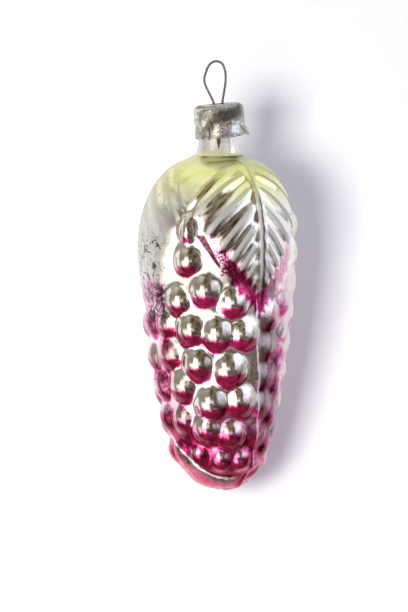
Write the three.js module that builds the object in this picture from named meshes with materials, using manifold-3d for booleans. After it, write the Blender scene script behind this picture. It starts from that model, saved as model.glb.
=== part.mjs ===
// Glass pine cone ornament, in millimetres, hanging still from its wire loop.
// +Z is up along the axis of the cone, -Y is the front, and angles run from the front towards +X.
// The origin is the inner top of the loop, where a hook touches it.
import * as THREE from "three";
import { mergeVertices } from "three/addons/utils/BufferGeometryUtils.js";
import Module from "manifold-3d";

const wasm = await Module();
wasm.setup();

// Hanger: one spring wire bent into a loop above the cap and two legs inside the neck.
const wireDiameter = 0.6;
const loopHeight = 10.8; // from the loop's inner top to the top of the cap
const loopWidth = 4.9; // clear width inside the loop
const loopWidest = 4.9; // how far below the inner top the loop is widest
const loopLean = -0.3; // the loop is bent a little to the left
const strandSpacing = 2.3; // centre to centre where both strands pass the cap
const legLength = 18; // from the top of the cap to the ends of the legs
const legBend = 6; // depth below the cap at which the legs meet the bore of the neck
const legTuck = 0.4; // the ends of the legs turn in by this much
const legClearance = 0.3;
const holeClearance = 0.35;

// Cap: tinplate stamping with a rounded crown and a skirt slit into four petals.
const capThickness = 0.35;
const crownHeight = 4.9;
const crownEdgeRadius = 1.8;
const stepDepth = 0.2; // the skirt starts this far inside the crown
const stepHeight = 0.6;
const petalLength = 3.7;
const capTilt = 4.5; // degrees; the cap sits askew, with its right side up
const slitAngles = [-25, 65, 155, 245];
const slitTopWidth = 0.4;
const slitBottomWidth = 0.9;
const petalFlares = [2, 20, 5, 3]; // degrees outwards, each for the petal after that slit
const dentDepth = 0.3; // pinch in the crown above each slit
const dentHalfAngle = 12;
const dentHeight = 2.6;
const seatGap = 0.3;

// Glass: a neck that is open at the top, on a body blown in a mould.
const wallThickness = 0.8;
const rimRadius = 4.8; // the neck narrows to its rim inside the cap
const neckRadius = 5.2; // just above its foot
const neckLength = 12.3; // from the rim to the corner of the shoulder
const neckFootRadius = 6.2;
const neckFootHeight = 2.8; // the neck widens into its foot over this height
const bodyRadius = 19.4; // smooth glass under the relief
const bodyLength = 87.7; // from the shoulder to the bottom

// Outline of the smooth glass, from the shoulder down to the bottom and just past it, so that it
// crosses the axis square. Each pair is a share of the radius and of the length above the bottom.
const outlineShares = [
  [0.63, 0.964],
  [0.845, 0.905],
  [0.975, 0.81],
  [1, 0.69],
  [0.92, 0.485],
  [0.785, 0.285],
  [0.66, 0.143],
  [0.53, 0.07],
  [0.31, 0.016],
  [0, 0],
  [-0.31, 0.016],
];

// Fir sprigs: three leaves of needles that hang from the shoulder, each with a midrib.
const sprigAngle = 33; // of the first sprig, which lies on the mould's seam
const sprigCount = 3;
const sprigLength = 39.6; // along the glass, from the shoulder to the end of the midrib
const sprigSideLength = 17; // the same, midway between two sprigs
const midribHalfWidth = 1.5;
const midribRise = 0.9;
const needlePitch = 4.2; // along the midrib
const firstGap = 6; // from the shoulder to the first gap between needles
const needleStraight = 9; // needles that start above this leave the midrib at a right angle
const needleDroop = 0.065; // how much steeper each needle starts, per mm further down
const needleSlope = 0.4; // how fast a needle runs down as it leaves the midrib
const needleCurve = 0.018; // and how much faster, per mm further out
const needleRise = 0.8;
const leafRise = 0.2; // of the whole leaf above the smooth glass
const tipLength = 2; // the rise fades over this length at the tips of the needles
const shoulderFade = 9; // and over this length below the shoulder

// The sprig on the left came out of the mould faintly, and it is wider at its lower end.
const softSprigAngle = -87;
const softInside = 34; // degrees from its midrib within which it is faint
const softOutside = 62; // and beyond which it is not
const softening = 0.6; // share of its rise that is missing
const softWider = 0.6; // share by which its sides are less short
const softSwell = 1.4; // it stands out as a whole instead
const swellFade = 12; // the swell runs out over this length at its lower edge
const swellStart = 8; // it starts this far below the shoulder
const swellFull = 26; // and is full from here

// Knobs: the scales of the cone, on the two halves of the mould, which meet at the first sprig and
// opposite it.
const knobRise = 2.2;
const knobRoundness = 1.2; // radius of the round top, as a multiple of the knob's half width
const knobHalfWidth = 3.95;
const knobHalfLength = 4.4;
const knobRoomStep = 25; // a knob shrinks where this many degrees leave it less room than that
const knobOverlap = 1.15; // neighbours may run into each other by this factor
const halfReach = 87; // knobs lie within this many degrees of the middle of their half
const leafClearance = 7; // from the edge of a leaf to the centre of a knob
const bottomClearance = 3; // from the edge of the lowest knobs to the bottom

// Front half, with uneven rows: distance of a row below the end of the midribs, angle of one of its
// knobs, step to the next, how much the row rises towards the middle of the half, size of its knobs,
// and how far every second knob lies below the row and the others above it.
const frontRows = [
  { below: -8.2, angle: -25, step: 25, lift: 0, size: 0.95, stagger: 0 },
  { below: 1.4, angle: -12, step: 23, lift: 0, size: 1, stagger: 1.6 },
  { below: 11.4, angle: -3, step: 23, lift: 2.4, size: 1, stagger: 0 },
  { below: 21, angle: -20, step: 30, lift: 4.2, size: 1.06, stagger: 0 },
  { below: 29.6, angle: -9, step: 31, lift: 4.6, size: 1.06, stagger: 0 },
  { below: 38, angle: -16, step: 28, lift: 4, size: 1, stagger: 0 },
  { below: 45.4, angle: 0, step: 28, lift: 1.5, size: 1, stagger: 0 },
];
const liftReach = 48; // degrees from the middle of the half within which its rows rise

// Back half, worn lower, with even rows, every second one moved by half a step.
const backFirstRow = -8.3; // below the end of the midribs
const backRowPitch = 3.9;
const backAngle = 45;
const backStep = 39;
const backSize = 0.92;
const backRise = 1.25;

// One small knob in each gap between sprigs
const crownKnob = { down: 23.8, turn: 2, halfWidth: 2.5, halfLength: 4.3, rise: 1.4 };

// Facets
const turnSteps = 66;
const sprigRows = 30;
const knobRows = 36;
const innerRows = 10;
const capSteps = 48;
const wireSteps = 72;
const wireSides = 8; // of the wire's section

const radians = THREE.MathUtils.degToRad;
const wireRadius = wireDiameter / 2;
const capHeight = crownHeight + petalLength;
const capTop = -loopHeight;
const holeRadius = strandSpacing / 2 + wireRadius + holeClearance;
const rimHeight = capTop - capThickness - seatGap - rimRadius * Math.sin(radians(capTilt));
const shoulderHeight = rimHeight - neckLength;
const footTop = shoulderHeight + neckFootHeight;
const bottomHeight = shoulderHeight - bodyLength;
const legReach = rimRadius - wallThickness - legClearance - wireRadius;

// The askew cap clears the neck at the lower edge of its skirt and at its dents.
const skirtDrop = crownHeight + stepHeight;
const skirtTopShare = (rimHeight - (capTop - skirtDrop)) / (rimHeight - footTop);
const neckInsideSkirt = rimRadius + (neckRadius - rimRadius) * skirtTopShare;
const capInnerRadius =
  seatGap +
  Math.max(
    neckRadius + capHeight * Math.sin(radians(capTilt)),
    neckInsideSkirt + stepDepth + dentDepth + skirtDrop * Math.sin(radians(capTilt)),
  );
const capRadius = capInnerRadius + capThickness;

function solidOf(geometry) {
  const bare = new THREE.BufferGeometry();
  bare.setIndex(geometry.index);
  bare.setAttribute("position", geometry.getAttribute("position"));
  const merged = mergeVertices(bare, 1e-4);
  return new wasm.Manifold(
    new wasm.Mesh({
      numProp: 3,
      vertProperties: merged.getAttribute("position").array,
      triVerts: new Uint32Array(merged.index.array),
    }),
  );
}

function geometryOf(solid) {
  const mesh = solid.getMesh();
  const geometry = new THREE.BufferGeometry();
  geometry.setAttribute("position", new THREE.BufferAttribute(mesh.vertProperties, 3));
  geometry.setIndex(new THREE.BufferAttribute(mesh.triVerts, 1));
  return geometry;
}

// A revolved solid about +Z. A lathe turns about its own Y axis and starts at the front here.
function revolved(profile, steps) {
  return new THREE.LatheGeometry(profile, steps).rotateX(Math.PI / 2);
}

function smoothStep(low, high, value) {
  return THREE.MathUtils.smoothstep(value, low, high);
}

// Signed difference of two angles in degrees, between -180 and 180.
function turnBetween(a, b) {
  return THREE.MathUtils.euclideanModulo(a - b + 180, 360) - 180;
}

// Meridian of the smooth body: the point and the outward normal at a distance below the shoulder.
const outlinePoints = [
  new THREE.Vector3(neckFootRadius, shoulderHeight, 0),
  ...outlineShares.map(
    ([out, up]) => new THREE.Vector3(out * bodyRadius, bottomHeight + up * bodyLength, 0),
  ),
];
const outline = new THREE.CatmullRomCurve3(outlinePoints);
const outlineSpans = outlinePoints.length - 1;
outline.arcLengthDivisions = outlineSpans * 40;
const outlineLengths = outline.getLengths();
const outlineLength = outlineLengths.at(-1);
const meridianLength = outlineLengths[(outlineSpans - 1) * 40];

function meridianAt(down) {
  const share = down / outlineLength;
  const point = outline.getPointAt(share);
  const tangent = outline.getTangentAt(share);
  return { down, radius: Math.max(point.x, 0), height: point.y, out: -tangent.y, up: tangent.x };
}

// A place on the smooth body, with the directions around it, down it and out of it.
function placeAt(angle, meridian) {
  const turn = radians(angle);
  const front = new THREE.Vector3(Math.sin(turn), -Math.cos(turn), 0);
  const around = new THREE.Vector3(Math.cos(turn), Math.sin(turn), 0);
  const outward = front.clone().multiplyScalar(meridian.out).setZ(meridian.up);
  const point = front.multiplyScalar(meridian.radius).setZ(meridian.height);
  return { point, around, outward, downward: around.clone().cross(outward) };
}

function fromNearestMidrib(angle) {
  const spacing = 360 / sprigCount;
  const turn = THREE.MathUtils.euclideanModulo(angle - sprigAngle + spacing / 2, spacing);
  return Math.abs(turn - spacing / 2);
}

// 1 on the faint sprig, 0 away from it.
function softness(angle) {
  return 1 - smoothStep(softInside, softOutside, Math.abs(turnBetween(angle, softSprigAngle)));
}

// Distance below the shoulder at which a leaf ends.
function leafEnd(angle) {
  const shorter = (sprigLength - sprigSideLength) * (fromNearestMidrib(angle) / (180 / sprigCount));
  return sprigLength - shorter * (1 - softWider * softness(angle));
}

// Each needle follows a curve that leaves the midrib and droops. The start of the curve through a
// point, counted in needle pitches, tells how far the point is across its needle.
function needleRidge(out, down) {
  const level = down - needleSlope * out - needleCurve * out * out;
  const droop = needleDroop * out;
  const start = level < needleStraight ? level : (level + droop * needleStraight) / (1 + droop);
  const across = (start - firstGap) / needlePitch;
  return across < -0.5 ? 0.5 : 0.5 - 0.5 * Math.cos(2 * Math.PI * across);
}

function sprigRelief(angle, meridian) {
  const out = meridian.radius * radians(fromNearestMidrib(angle));
  const ridge = needleRidge(out, meridian.down);
  const end = leafEnd(angle) + tipLength * ridge;
  const onLeaf = smoothStep(0, tipLength, end - meridian.down);
  const besideMidrib = smoothStep(midribHalfWidth * 0.6, midribHalfWidth * 1.4, out);
  const needles = (leafRise + needleRise * ridge * besideMidrib) * onLeaf;
  const taper = smoothStep(0, sprigLength / 4, sprigLength + tipLength - meridian.down);
  const midrib = (leafRise + midribRise * taper) * Math.max(0, 1 - (out / midribHalfWidth) ** 2);
  const relief = Math.max(needles, midrib * Math.min(1, taper * 4)) * (1 - softening * softness(angle));
  const beforeEdge = leafEnd(angle) + swellFade - meridian.down;
  const onSwell = smoothStep(0, swellFade, beforeEdge) * smoothStep(swellStart, swellFull, meridian.down);
  const swell = softSwell * softness(angle) * onSwell;
  return relief * smoothStep(0, shoulderFade, meridian.down) + swell;
}

// A knob, or none where it would run into a leaf or past the bottom.
function knobAt(angle, below, size, rise) {
  const down = sprigLength + below;
  if (down > meridianLength) return [];
  const meridian = meridianAt(down);
  const room = (meridian.radius * radians(knobRoomStep)) / 2;
  const scale = size * Math.min(1, (room * knobOverlap) / knobHalfWidth);
  const halfLength = knobHalfLength * scale;
  if (meridianLength - down < halfLength + bottomClearance) return [];
  if (down - leafEnd(angle) < leafClearance) return [];
  return [{ ...placeAt(angle, meridian), halfWidth: knobHalfWidth * scale, halfLength, rise: rise * scale }];
}

// Angles of a row within one half of the mould, counted from its middle.
function rowAngles(first, step, middle) {
  const angles = [];
  const start = middle + turnBetween(first, middle);
  for (let i = -8; i <= 8; i++) angles.push(start + i * step);
  return angles.filter((angle) => Math.abs(angle - middle) < halfReach);
}

function knobList() {
  const knobs = [];
  const frontMiddle = sprigAngle - 90;
  for (const { below, angle: first, step, lift, size, stagger } of frontRows) {
    for (const angle of rowAngles(first, step, frontMiddle)) {
      const raised = lift * Math.max(0, 1 - ((angle - frontMiddle) / liftReach) ** 2);
      const everySecond = Math.round(turnBetween(angle, first) / step) % 2 !== 0;
      const lower = everySecond ? stagger : -stagger;
      knobs.push(...knobAt(angle, below - raised + lower, size, knobRise));
    }
  }
  const backRows = (meridianLength - sprigLength - backFirstRow) / backRowPitch;
  for (let row = 0; row < backRows; row++) {
    const first = backAngle + (row % 2 ? backStep / 2 : 0);
    for (const angle of rowAngles(first, backStep, sprigAngle + 90)) {
      knobs.push(...knobAt(angle, backFirstRow + row * backRowPitch, backSize, backRise));
    }
  }
  for (let i = 0; i < sprigCount; i++) {
    const angle = sprigAngle + ((i + 0.5) * 360) / sprigCount + crownKnob.turn;
    knobs.push({ ...crownKnob, ...placeAt(angle, meridianAt(crownKnob.down)) });
  }
  return knobs;
}
const knobs = knobList();

// Height of the rounded knobs at a place on the smooth body: a part of a sphere, drawn out to an oval.
function knobRelief(place) {
  let rise = 0;
  const rim = Math.sqrt(knobRoundness ** 2 - 1);
  for (const knob of knobs) {
    const from = place.point.clone().sub(knob.point);
    if (from.length() > knob.halfLength * 1.5) continue;
    const across = from.dot(knob.around) / knob.halfWidth;
    const along = from.dot(knob.downward) / knob.halfLength;
    const off = across ** 2 + along ** 2;
    if (off > 1) continue;
    const round = Math.sqrt(knobRoundness ** 2 - off) - rim;
    rise = Math.max(rise, (knob.rise * round) / (knobRoundness - rim));
  }
  return rise;
}

// Distances below the shoulder of the rows of facets, closer together on the needles.
function rowDistances() {
  const distances = [];
  for (let i = 1; i <= sprigRows; i++) distances.push((sprigLength * i) / sprigRows);
  for (let i = 1; i < knobRows; i++) {
    distances.push(sprigLength + ((meridianLength - sprigLength) * i) / knobRows);
  }
  return distances;
}

function glassBody() {
  const meridians = rowDistances().map(meridianAt);
  const outside = meridians.map((m) => new THREE.Vector2(m.radius, m.height)).reverse();
  const neck = [
    new THREE.Vector2(neckFootRadius, shoulderHeight),
    new THREE.Vector2(
      neckRadius + (neckFootRadius - neckRadius) * 0.35,
      shoulderHeight + neckFootHeight * 0.4,
    ),
    new THREE.Vector2(neckRadius, footTop),
    new THREE.Vector2(rimRadius, rimHeight),
    new THREE.Vector2(rimRadius - wallThickness, rimHeight),
    new THREE.Vector2(neckRadius - wallThickness, footTop),
  ];
  const inside = [];
  for (let i = 1; i < innerRows; i++) {
    const m = meridianAt((meridianLength * i) / innerRows);
    inside.push(new THREE.Vector2(m.radius - wallThickness * m.out, m.height - wallThickness * m.up));
  }
  const profile = [
    new THREE.Vector2(0, bottomHeight),
    ...outside,
    ...neck,
    ...inside,
    new THREE.Vector2(0, bottomHeight + wallThickness),
  ];
  const geometry = revolved(profile, turnSteps);
  raiseRelief(geometry, profile.length, meridians.slice().reverse());
  return geometry;
}

// Lifts the outside rows by the relief, then turns the diagonals of the facets along its ridges.
function raiseRelief(geometry, rowLength, meridians) {
  const position = geometry.getAttribute("position");
  const rises = new Float32Array(position.count);
  for (let column = 0; column <= turnSteps; column++) {
    const angle = (360 * (column % turnSteps)) / turnSteps;
    meridians.forEach((meridian, row) => {
      const vertex = column * rowLength + row + 1;
      const place = placeAt(angle, meridian);
      rises[vertex] = Math.max(sprigRelief(angle, meridian), knobRelief(place));
      const raised = place.point.addScaledVector(place.outward, rises[vertex]);
      position.setXYZ(vertex, raised.x, raised.y, raised.z);
    });
  }
  const index = geometry.index;
  for (let i = 0; i + 5 < index.count; i += 6) {
    const [a, b, d, c] = [0, 1, 2, 3].map((k) => index.getX(i + k));
    if (Math.abs(rises[a] - rises[c]) < Math.abs(rises[b] - rises[d])) {
      [a, b, c, a, c, d].forEach((vertex, k) => index.setX(i + k, vertex));
    }
  }
}

// The cap in its own frame: top face at height 0, hole on the axis.
function cap() {
  const edgeCentre = capRadius - crownEdgeRadius;
  const innerEdge = crownEdgeRadius - capThickness;
  const arc = (radius, angle) =>
    new THREE.Vector2(
      edgeCentre + radius * Math.sin(radians(angle)),
      radius * Math.cos(radians(angle)) - crownEdgeRadius,
    );
  const skirtRadius = capRadius - stepDepth;
  const outside = [0, 30, 60, 90].map((angle) => arc(crownEdgeRadius, angle));
  const inside = [90, 60, 30, 0].map((angle) => arc(innerEdge, angle));
  const profile = [
    new THREE.Vector2(holeRadius, -capThickness),
    ...inside.reverse(),
    new THREE.Vector2(capInnerRadius, -crownHeight),
    new THREE.Vector2(skirtRadius - capThickness, -skirtDrop),
    new THREE.Vector2(capInnerRadius, -capHeight),
    new THREE.Vector2(capRadius, -capHeight),
    new THREE.Vector2(skirtRadius, -skirtDrop),
    new THREE.Vector2(capRadius, -crownHeight),
    new THREE.Vector2(capRadius, -(crownHeight + crownEdgeRadius) / 2),
    ...outside.reverse(),
    new THREE.Vector2(holeRadius, 0),
    new THREE.Vector2(holeRadius, -capThickness),
  ];
  const shell = revolved(profile, capSteps);
  pinch(shell);
  let solid = solidOf(shell);
  for (const angle of slitAngles) solid = solid.subtract(solidOf(slit(angle)));
  const geometry = geometryOf(solid);
  bendPetals(geometry);
  return geometry;
}

// A wedge that parts two petals.
function slit(angle) {
  const shape = new THREE.Shape([
    new THREE.Vector2(slitTopWidth / 2, -crownHeight - stepHeight / 2),
    new THREE.Vector2(-slitTopWidth / 2, -crownHeight - stepHeight / 2),
    new THREE.Vector2(-slitBottomWidth / 2, -capHeight - 1),
    new THREE.Vector2(slitBottomWidth / 2, -capHeight - 1),
  ]);
  const depth = 4 * capThickness + 2;
  const wedge = new THREE.ExtrudeGeometry(shape, { depth, bevelEnabled: false });
  return wedge
    .translate(0, 0, capRadius - depth / 2)
    .rotateX(Math.PI / 2)
    .rotateZ(radians(angle));
}

function angleOf(x, y) {
  return THREE.MathUtils.radToDeg(Math.atan2(x, -y));
}

// Presses the wall of the crown in above each slit.
function pinch(geometry) {
  const position = geometry.getAttribute("position");
  for (let i = 0; i < position.count; i++) {
    const [x, y, z] = [position.getX(i), position.getY(i), position.getZ(i)];
    const radius = Math.hypot(x, y);
    if (radius < capInnerRadius - stepDepth) continue;
    const off = Math.min(...slitAngles.map((angle) => Math.abs(turnBetween(angleOf(x, y), angle))));
    const sideways = 1 - smoothStep(0, dentHalfAngle, off);
    const upwards = 1 - smoothStep(0, dentHeight, Math.abs(z + crownHeight));
    const scale = 1 - (dentDepth * sideways * upwards) / radius;
    position.setXY(i, x * scale, y * scale);
  }
}

// Swings each petal outwards about the line where it leaves the crown.
function bendPetals(geometry) {
  const position = geometry.getAttribute("position");
  for (let i = 0; i < position.count; i++) {
    const below = -skirtDrop - position.getZ(i);
    if (below <= 0) continue;
    const [x, y] = [position.getX(i), position.getY(i)];
    const turn = THREE.MathUtils.euclideanModulo(angleOf(x, y) - slitAngles[0], 360);
    const petal = slitAngles.findLastIndex((angle) => turn >= angle - slitAngles[0]);
    const outward = below * Math.tan(radians(petalFlares[petal]));
    const scale = 1 + outward / Math.hypot(x, y);
    position.setXY(i, x * scale, y * scale);
  }
}

// The wire lies in the plane of X and Z, from the end of the left leg over the loop to the right one.
function hangerWire() {
  const point = (x, z) => new THREE.Vector3(x, 0, z);
  const halfWidth = loopWidth / 2 + wireRadius;
  const strand = (side) => [
    point(side * (legReach - legTuck), capTop - legLength),
    point(side * legReach, capTop - (legBend + legLength) / 2),
    point(side * legReach * 0.97, capTop - legBend),
    point((side * strandSpacing) / 2, capTop - capThickness),
    point((side * strandSpacing) / 2, capTop + capThickness),
  ];
  const loop = [180, 150, 120, 90, 60, 30, 0].map((angle) => {
    const up = Math.sin(radians(angle));
    const lean = loopLean * (1 - up);
    const height = (loopWidest + wireRadius) * up - loopWidest;
    return point(lean + halfWidth * Math.cos(radians(angle)), height);
  });
  const path = new THREE.CatmullRomCurve3([...strand(-1), ...loop, ...strand(1).reverse()]);
  const section = new THREE.Shape();
  section.absarc(0, 0, wireRadius, 0, 2 * Math.PI);
  return new THREE.ExtrudeGeometry(section, {
    steps: wireSteps,
    curveSegments: wireSides / 2, // the circle is drawn as two arcs
    bevelEnabled: false,
    extrudePath: path,
  });
}

function addMesh(group, name, geometry, look) {
  const mesh = new THREE.Mesh(geometry, new THREE.MeshStandardMaterial(look));
  mesh.name = name;
  group.add(mesh);
  return mesh;
}

const ornament = new THREE.Group();
addMesh(ornament, "hanger_wire", hangerWire(), { color: 0x6a6660, roughness: 0.4, metalness: 1 });
const askew = new THREE.Group();
askew.position.z = capTop;
askew.rotation.y = -radians(capTilt);
addMesh(askew, "cap", cap(), { color: 0xa8a59c, roughness: 0.45, metalness: 0.9 });
ornament.add(askew);
addMesh(ornament, "glass_body", glassBody(), { color: 0xc87f9c, roughness: 0.12, metalness: 0.9 });

export default ornament;
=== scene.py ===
# Glass pine cone ornament: silvered and lacquered glass, tinplate cap and wire loop.
# Lengths in the dictionaries are millimetres unless a name says otherwise, angles are degrees
# from the front towards +X. Meshes are metres.
import bpy
import math
import random
import bmesh
from mathutils import Matrix, Vector, noise


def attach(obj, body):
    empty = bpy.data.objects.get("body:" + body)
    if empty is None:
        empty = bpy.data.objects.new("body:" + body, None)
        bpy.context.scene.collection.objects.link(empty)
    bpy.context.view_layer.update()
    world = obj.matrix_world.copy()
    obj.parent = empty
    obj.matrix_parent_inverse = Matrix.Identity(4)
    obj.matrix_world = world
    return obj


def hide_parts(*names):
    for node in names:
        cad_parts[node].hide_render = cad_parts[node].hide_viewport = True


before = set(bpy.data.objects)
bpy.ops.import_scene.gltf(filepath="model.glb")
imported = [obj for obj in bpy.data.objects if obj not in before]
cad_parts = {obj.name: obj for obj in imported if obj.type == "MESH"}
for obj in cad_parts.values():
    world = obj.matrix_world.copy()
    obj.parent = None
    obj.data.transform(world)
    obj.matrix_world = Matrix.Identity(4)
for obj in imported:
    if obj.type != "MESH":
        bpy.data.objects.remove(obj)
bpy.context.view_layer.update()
mm = 0.001


class Field:
    # Wraps a socket of a shader or geometry tree, so that its maths is written as expressions
    def __init__(self, tree, socket=None):
        self.tree = tree
        self.socket = socket

    def make(self, kind, settings=None, values=None, output=0):
        # Adds a node: its settings first, then the values or links of its sockets
        node = self.tree.nodes.new(kind)
        for name, setting in (settings or {}).items():
            if name == "stops":
                setStops(node.color_ramp, setting)
            else:
                setattr(node, name, setting)
        for name, value in (values or {}).items():
            link(self.tree, value, node.inputs[name])
        return Field(self.tree, node.outputs[output] if node.outputs else None)

    def of(self, output):
        return Field(self.tree, self.socket.node.outputs[output])

    def math(self, operation, *others):
        values = {i: value for i, value in enumerate((self, *others))}
        return self.make("ShaderNodeMath", {"operation": operation}, values)

    def vector(self, operation, *others, output=0):
        values = {i: value for i, value in enumerate((self, *others))}
        return self.make("ShaderNodeVectorMath", {"operation": operation}, values, output)

    def after(self, operation, first):
        # The same as math, with this field as the second value
        return self.make("ShaderNodeMath", {"operation": operation}, {0: first, 1: self})

    def __add__(self, other):
        return self.math("ADD", other)

    def __radd__(self, other):
        return self.math("ADD", other)

    def __sub__(self, other):
        return self.math("SUBTRACT", other)

    def __rsub__(self, other):
        return self.after("SUBTRACT", other)

    def __mul__(self, other):
        return self.math("MULTIPLY", other)

    def __rmul__(self, other):
        return self.math("MULTIPLY", other)

    def __truediv__(self, other):
        return self.math("DIVIDE", other)

    def __rtruediv__(self, other):
        return self.after("DIVIDE", other)

    def __neg__(self):
        return self.math("MULTIPLY", -1.0)

    def __pow__(self, other):
        return self.math("POWER", other)

    def atLeast(self, other):
        return self.math("MAXIMUM", other)

    def atMost(self, other):
        return self.math("MINIMUM", other)

    def absolute(self):
        return self.math("ABSOLUTE")

    def spread(self, width):
        # A noise field as an offset to both sides, width from end to end
        return (self - 0.5) * width

    def dot(self, other):
        return self.vector("DOT_PRODUCT", other, output="Value")

    def cross(self, other):
        return self.vector("CROSS_PRODUCT", other)

    def unit(self):
        return self.vector("NORMALIZE")

    def scaled(self, amount):
        return self.make("ShaderNodeVectorMath", {"operation": "SCALE"}, {0: self, "Scale": amount})

    def part(self, axis):
        return self.make("ShaderNodeSeparateXYZ", None, {0: self}, "XYZ".index(axis))

    def ramp(self, low, high, toLow=0.0, toHigh=1.0):
        # Smooth step from toLow at low to toHigh at high, where low may also be the larger one
        settings = {"interpolation_type": "SMOOTHSTEP"}
        if low > high:
            low, high, toLow, toHigh = high, low, toHigh, toLow
        values = {0: self, 1: low, 2: high, 3: toLow, 4: toHigh}
        return self.make("ShaderNodeMapRange", settings, values)

    def between(self, low, high, soft):
        # 1 between low and high, fading over soft at both ends
        return self.ramp(low - soft, low + soft) * self.ramp(high + soft, high - soft)

    def colours(self, *stops):
        return self.make("ShaderNodeValToRGB", {"stops": stops}, {0: self})

    def blend(self, first, second):
        # Mixes two colours by this factor
        settings = {"data_type": "RGBA"}
        return self.make("ShaderNodeMix", settings, {0: self, 6: first, 7: second}, 2)

    def tinted(self, other):
        # Multiplies two colours
        settings = {"data_type": "RGBA", "blend_type": "MULTIPLY"}
        return self.make("ShaderNodeMix", settings, {0: 1.0, 6: self, 7: other}, 2)

    def noise(self, scale, detail=2.0, roughness=0.5, distortion=0.0):
        values = {"Vector": self, "Scale": scale, "Detail": detail, "Roughness": roughness}
        return self.make("ShaderNodeTexNoise", None, {**values, "Distortion": distortion})

    def cells(self, scale):
        return self.make("ShaderNodeTexVoronoi", None, {"Vector": self, "Scale": scale})


def link(tree, value, socket):
    if isinstance(value, Field):
        tree.links.new(value.socket, socket)
    elif socket.type == "RGBA" and len(value) == 3:
        socket.default_value = (*value, 1.0)
    else:
        socket.default_value = value


def setStops(ramp, stops):
    while len(ramp.elements) < len(stops):
        ramp.elements.new(0.5)
    for element, (place, colour) in zip(ramp.elements, stops):
        element.position = place
        element.color = (*colour, 1.0)


def newMaterial(name):
    material = bpy.data.materials.new(name)
    material.use_nodes = True
    material.node_tree.nodes.clear()
    return material, Field(material.node_tree)


def finishMaterial(start, shader):
    start.make("ShaderNodeOutputMaterial", None, {"Surface": shader})


def painted(colour, layers):
    # Lays each layer's colour over the ones before, by the layer's mask
    for mask, over in layers:
        colour = mask.blend(colour, over)
    return colour


def principled(start, **values):
    named = {name.replace("_", " "): value for name, value in values.items()}
    return start.make("ShaderNodeBsdfPrincipled", None, named)


def bump(start, height, distance, strength=1.0):
    values = {"Height": height, "Distance": distance, "Strength": strength}
    return start.make("ShaderNodeBump", None, values)


def attribute(start, name):
    return start.make("ShaderNodeAttribute", {"attribute_name": name}, None, "Fac")


def objectPlace(start):
    # Place in mm
    return start.make("ShaderNodeTexCoord", None, None, "Object").scaled(1 / mm)


def angleOf(place):
    # Degrees about the ornament's axis, from the front towards +X
    return place.part("X").math("ARCTAN2", -place.part("Y")) * (180 / math.pi)


# Camera: looks at the ornament a little from above, as the photographed one is seen
view = {
    "elevation": 6.0,
    "distance": 900.0,
    "pixel": 0.26,  # width of a pixel of the photograph at the ornament
    "width": 408,
    "height": 612,
    "originPixel": (217.7, 62.3),  # where the inner top of the loop is
    "lean": 0.45,  # the ornament lies turned by this, its bottom to the right
    "sensor": 36.0,
    "nearest": 10.0,
    "furthest": 20000.0,
}


def rightOfView():
    return Vector((1, 0, 0))


def upOfView():
    tilt = math.radians(view["elevation"])
    return Vector((0, math.sin(tilt), math.cos(tilt)))


def towardsView():
    tilt = math.radians(view["elevation"])
    return Vector((0, -math.cos(tilt), math.sin(tilt)))


def makeCamera():
    data = bpy.data.cameras.new("camera")
    data.sensor_width = view["sensor"]
    data.lens = data.sensor_width * view["distance"] / (view["height"] * view["pixel"])
    camera = bpy.data.objects.new("camera", data)
    bpy.context.scene.collection.objects.link(camera)
    across = (view["width"] / 2 - view["originPixel"][0]) * view["pixel"] * mm
    down = (view["height"] / 2 - view["originPixel"][1]) * view["pixel"] * mm
    turn = math.radians(view["lean"])
    right = rightOfView() * math.cos(turn) - upOfView() * math.sin(turn)
    up = upOfView() * math.cos(turn) + rightOfView() * math.sin(turn)
    centre = right * across - up * down
    camera.location = centre + towardsView() * view["distance"] * mm
    axes = (right, up, towardsView())
    camera.rotation_mode = "QUATERNION"
    rows = [[axis[i] for axis in axes] for i in range(3)]
    camera.rotation_quaternion = Matrix(rows).to_quaternion()
    data.clip_start = view["nearest"] * mm
    data.clip_end = view["furthest"] * mm
    bpy.context.scene.camera = camera


# Small geometry helpers
def softStep(low, high, value):
    share = min(1.0, max(0.0, (value - low) / (high - low)))
    return share * share * (3 - 2 * share)


def smoothLine(points, steps, overshoot=0):
    # Points evenly spaced on a centripetal Catmull-Rom curve. overshoot is how many spans at its
    # end only guide it. Returns (point, direction, distance) for each.
    spans = len(points) - 1
    padded = [points[0] * 2 - points[1], *points, points[-1] * 2 - points[-2]]
    fine = []
    perSpan = 60
    shortest = 1e-4
    for span in range(spans):
        a, b, c, d = padded[span:span + 4]
        t0, t1, t2 = [max(shortest, (q - p).length) ** 0.5 for p, q in ((a, b), (b, c), (c, d))]
        start = ((b - a) / t0 - (c - a) / (t0 + t1) + (c - b) / t1) * t1
        end = ((c - b) / t1 - (d - b) / (t1 + t2) + (d - c) / t2) * t1
        for i in range(perSpan):
            t = i / perSpan
            fine.append(
                b * (2 * t**3 - 3 * t**2 + 1) + start * (t**3 - 2 * t**2 + t)
                + c * (3 * t**2 - 2 * t**3) + end * (t**3 - t**2)
            )
    fine.append(points[-1].copy())
    fine = fine[:(spans - overshoot) * perSpan + 1]
    lengths = [0.0]
    for p, q in zip(fine, fine[1:]):
        lengths.append(lengths[-1] + (q - p).length)
    line = []
    k = 0
    for i in range(steps + 1):
        wanted = lengths[-1] * i / steps
        while k < len(fine) - 2 and lengths[k + 1] < wanted:
            k += 1
        share = (wanted - lengths[k]) / (lengths[k + 1] - lengths[k])
        direction = (fine[k + 1] - fine[k]).normalized()
        line.append((fine[k].lerp(fine[k + 1], share), direction, wanted))
    return line


def aroundAxis(angle, radius, height):
    turn = math.radians(angle)
    return Vector((radius * math.sin(turn), -radius * math.cos(turn), height))


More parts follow.
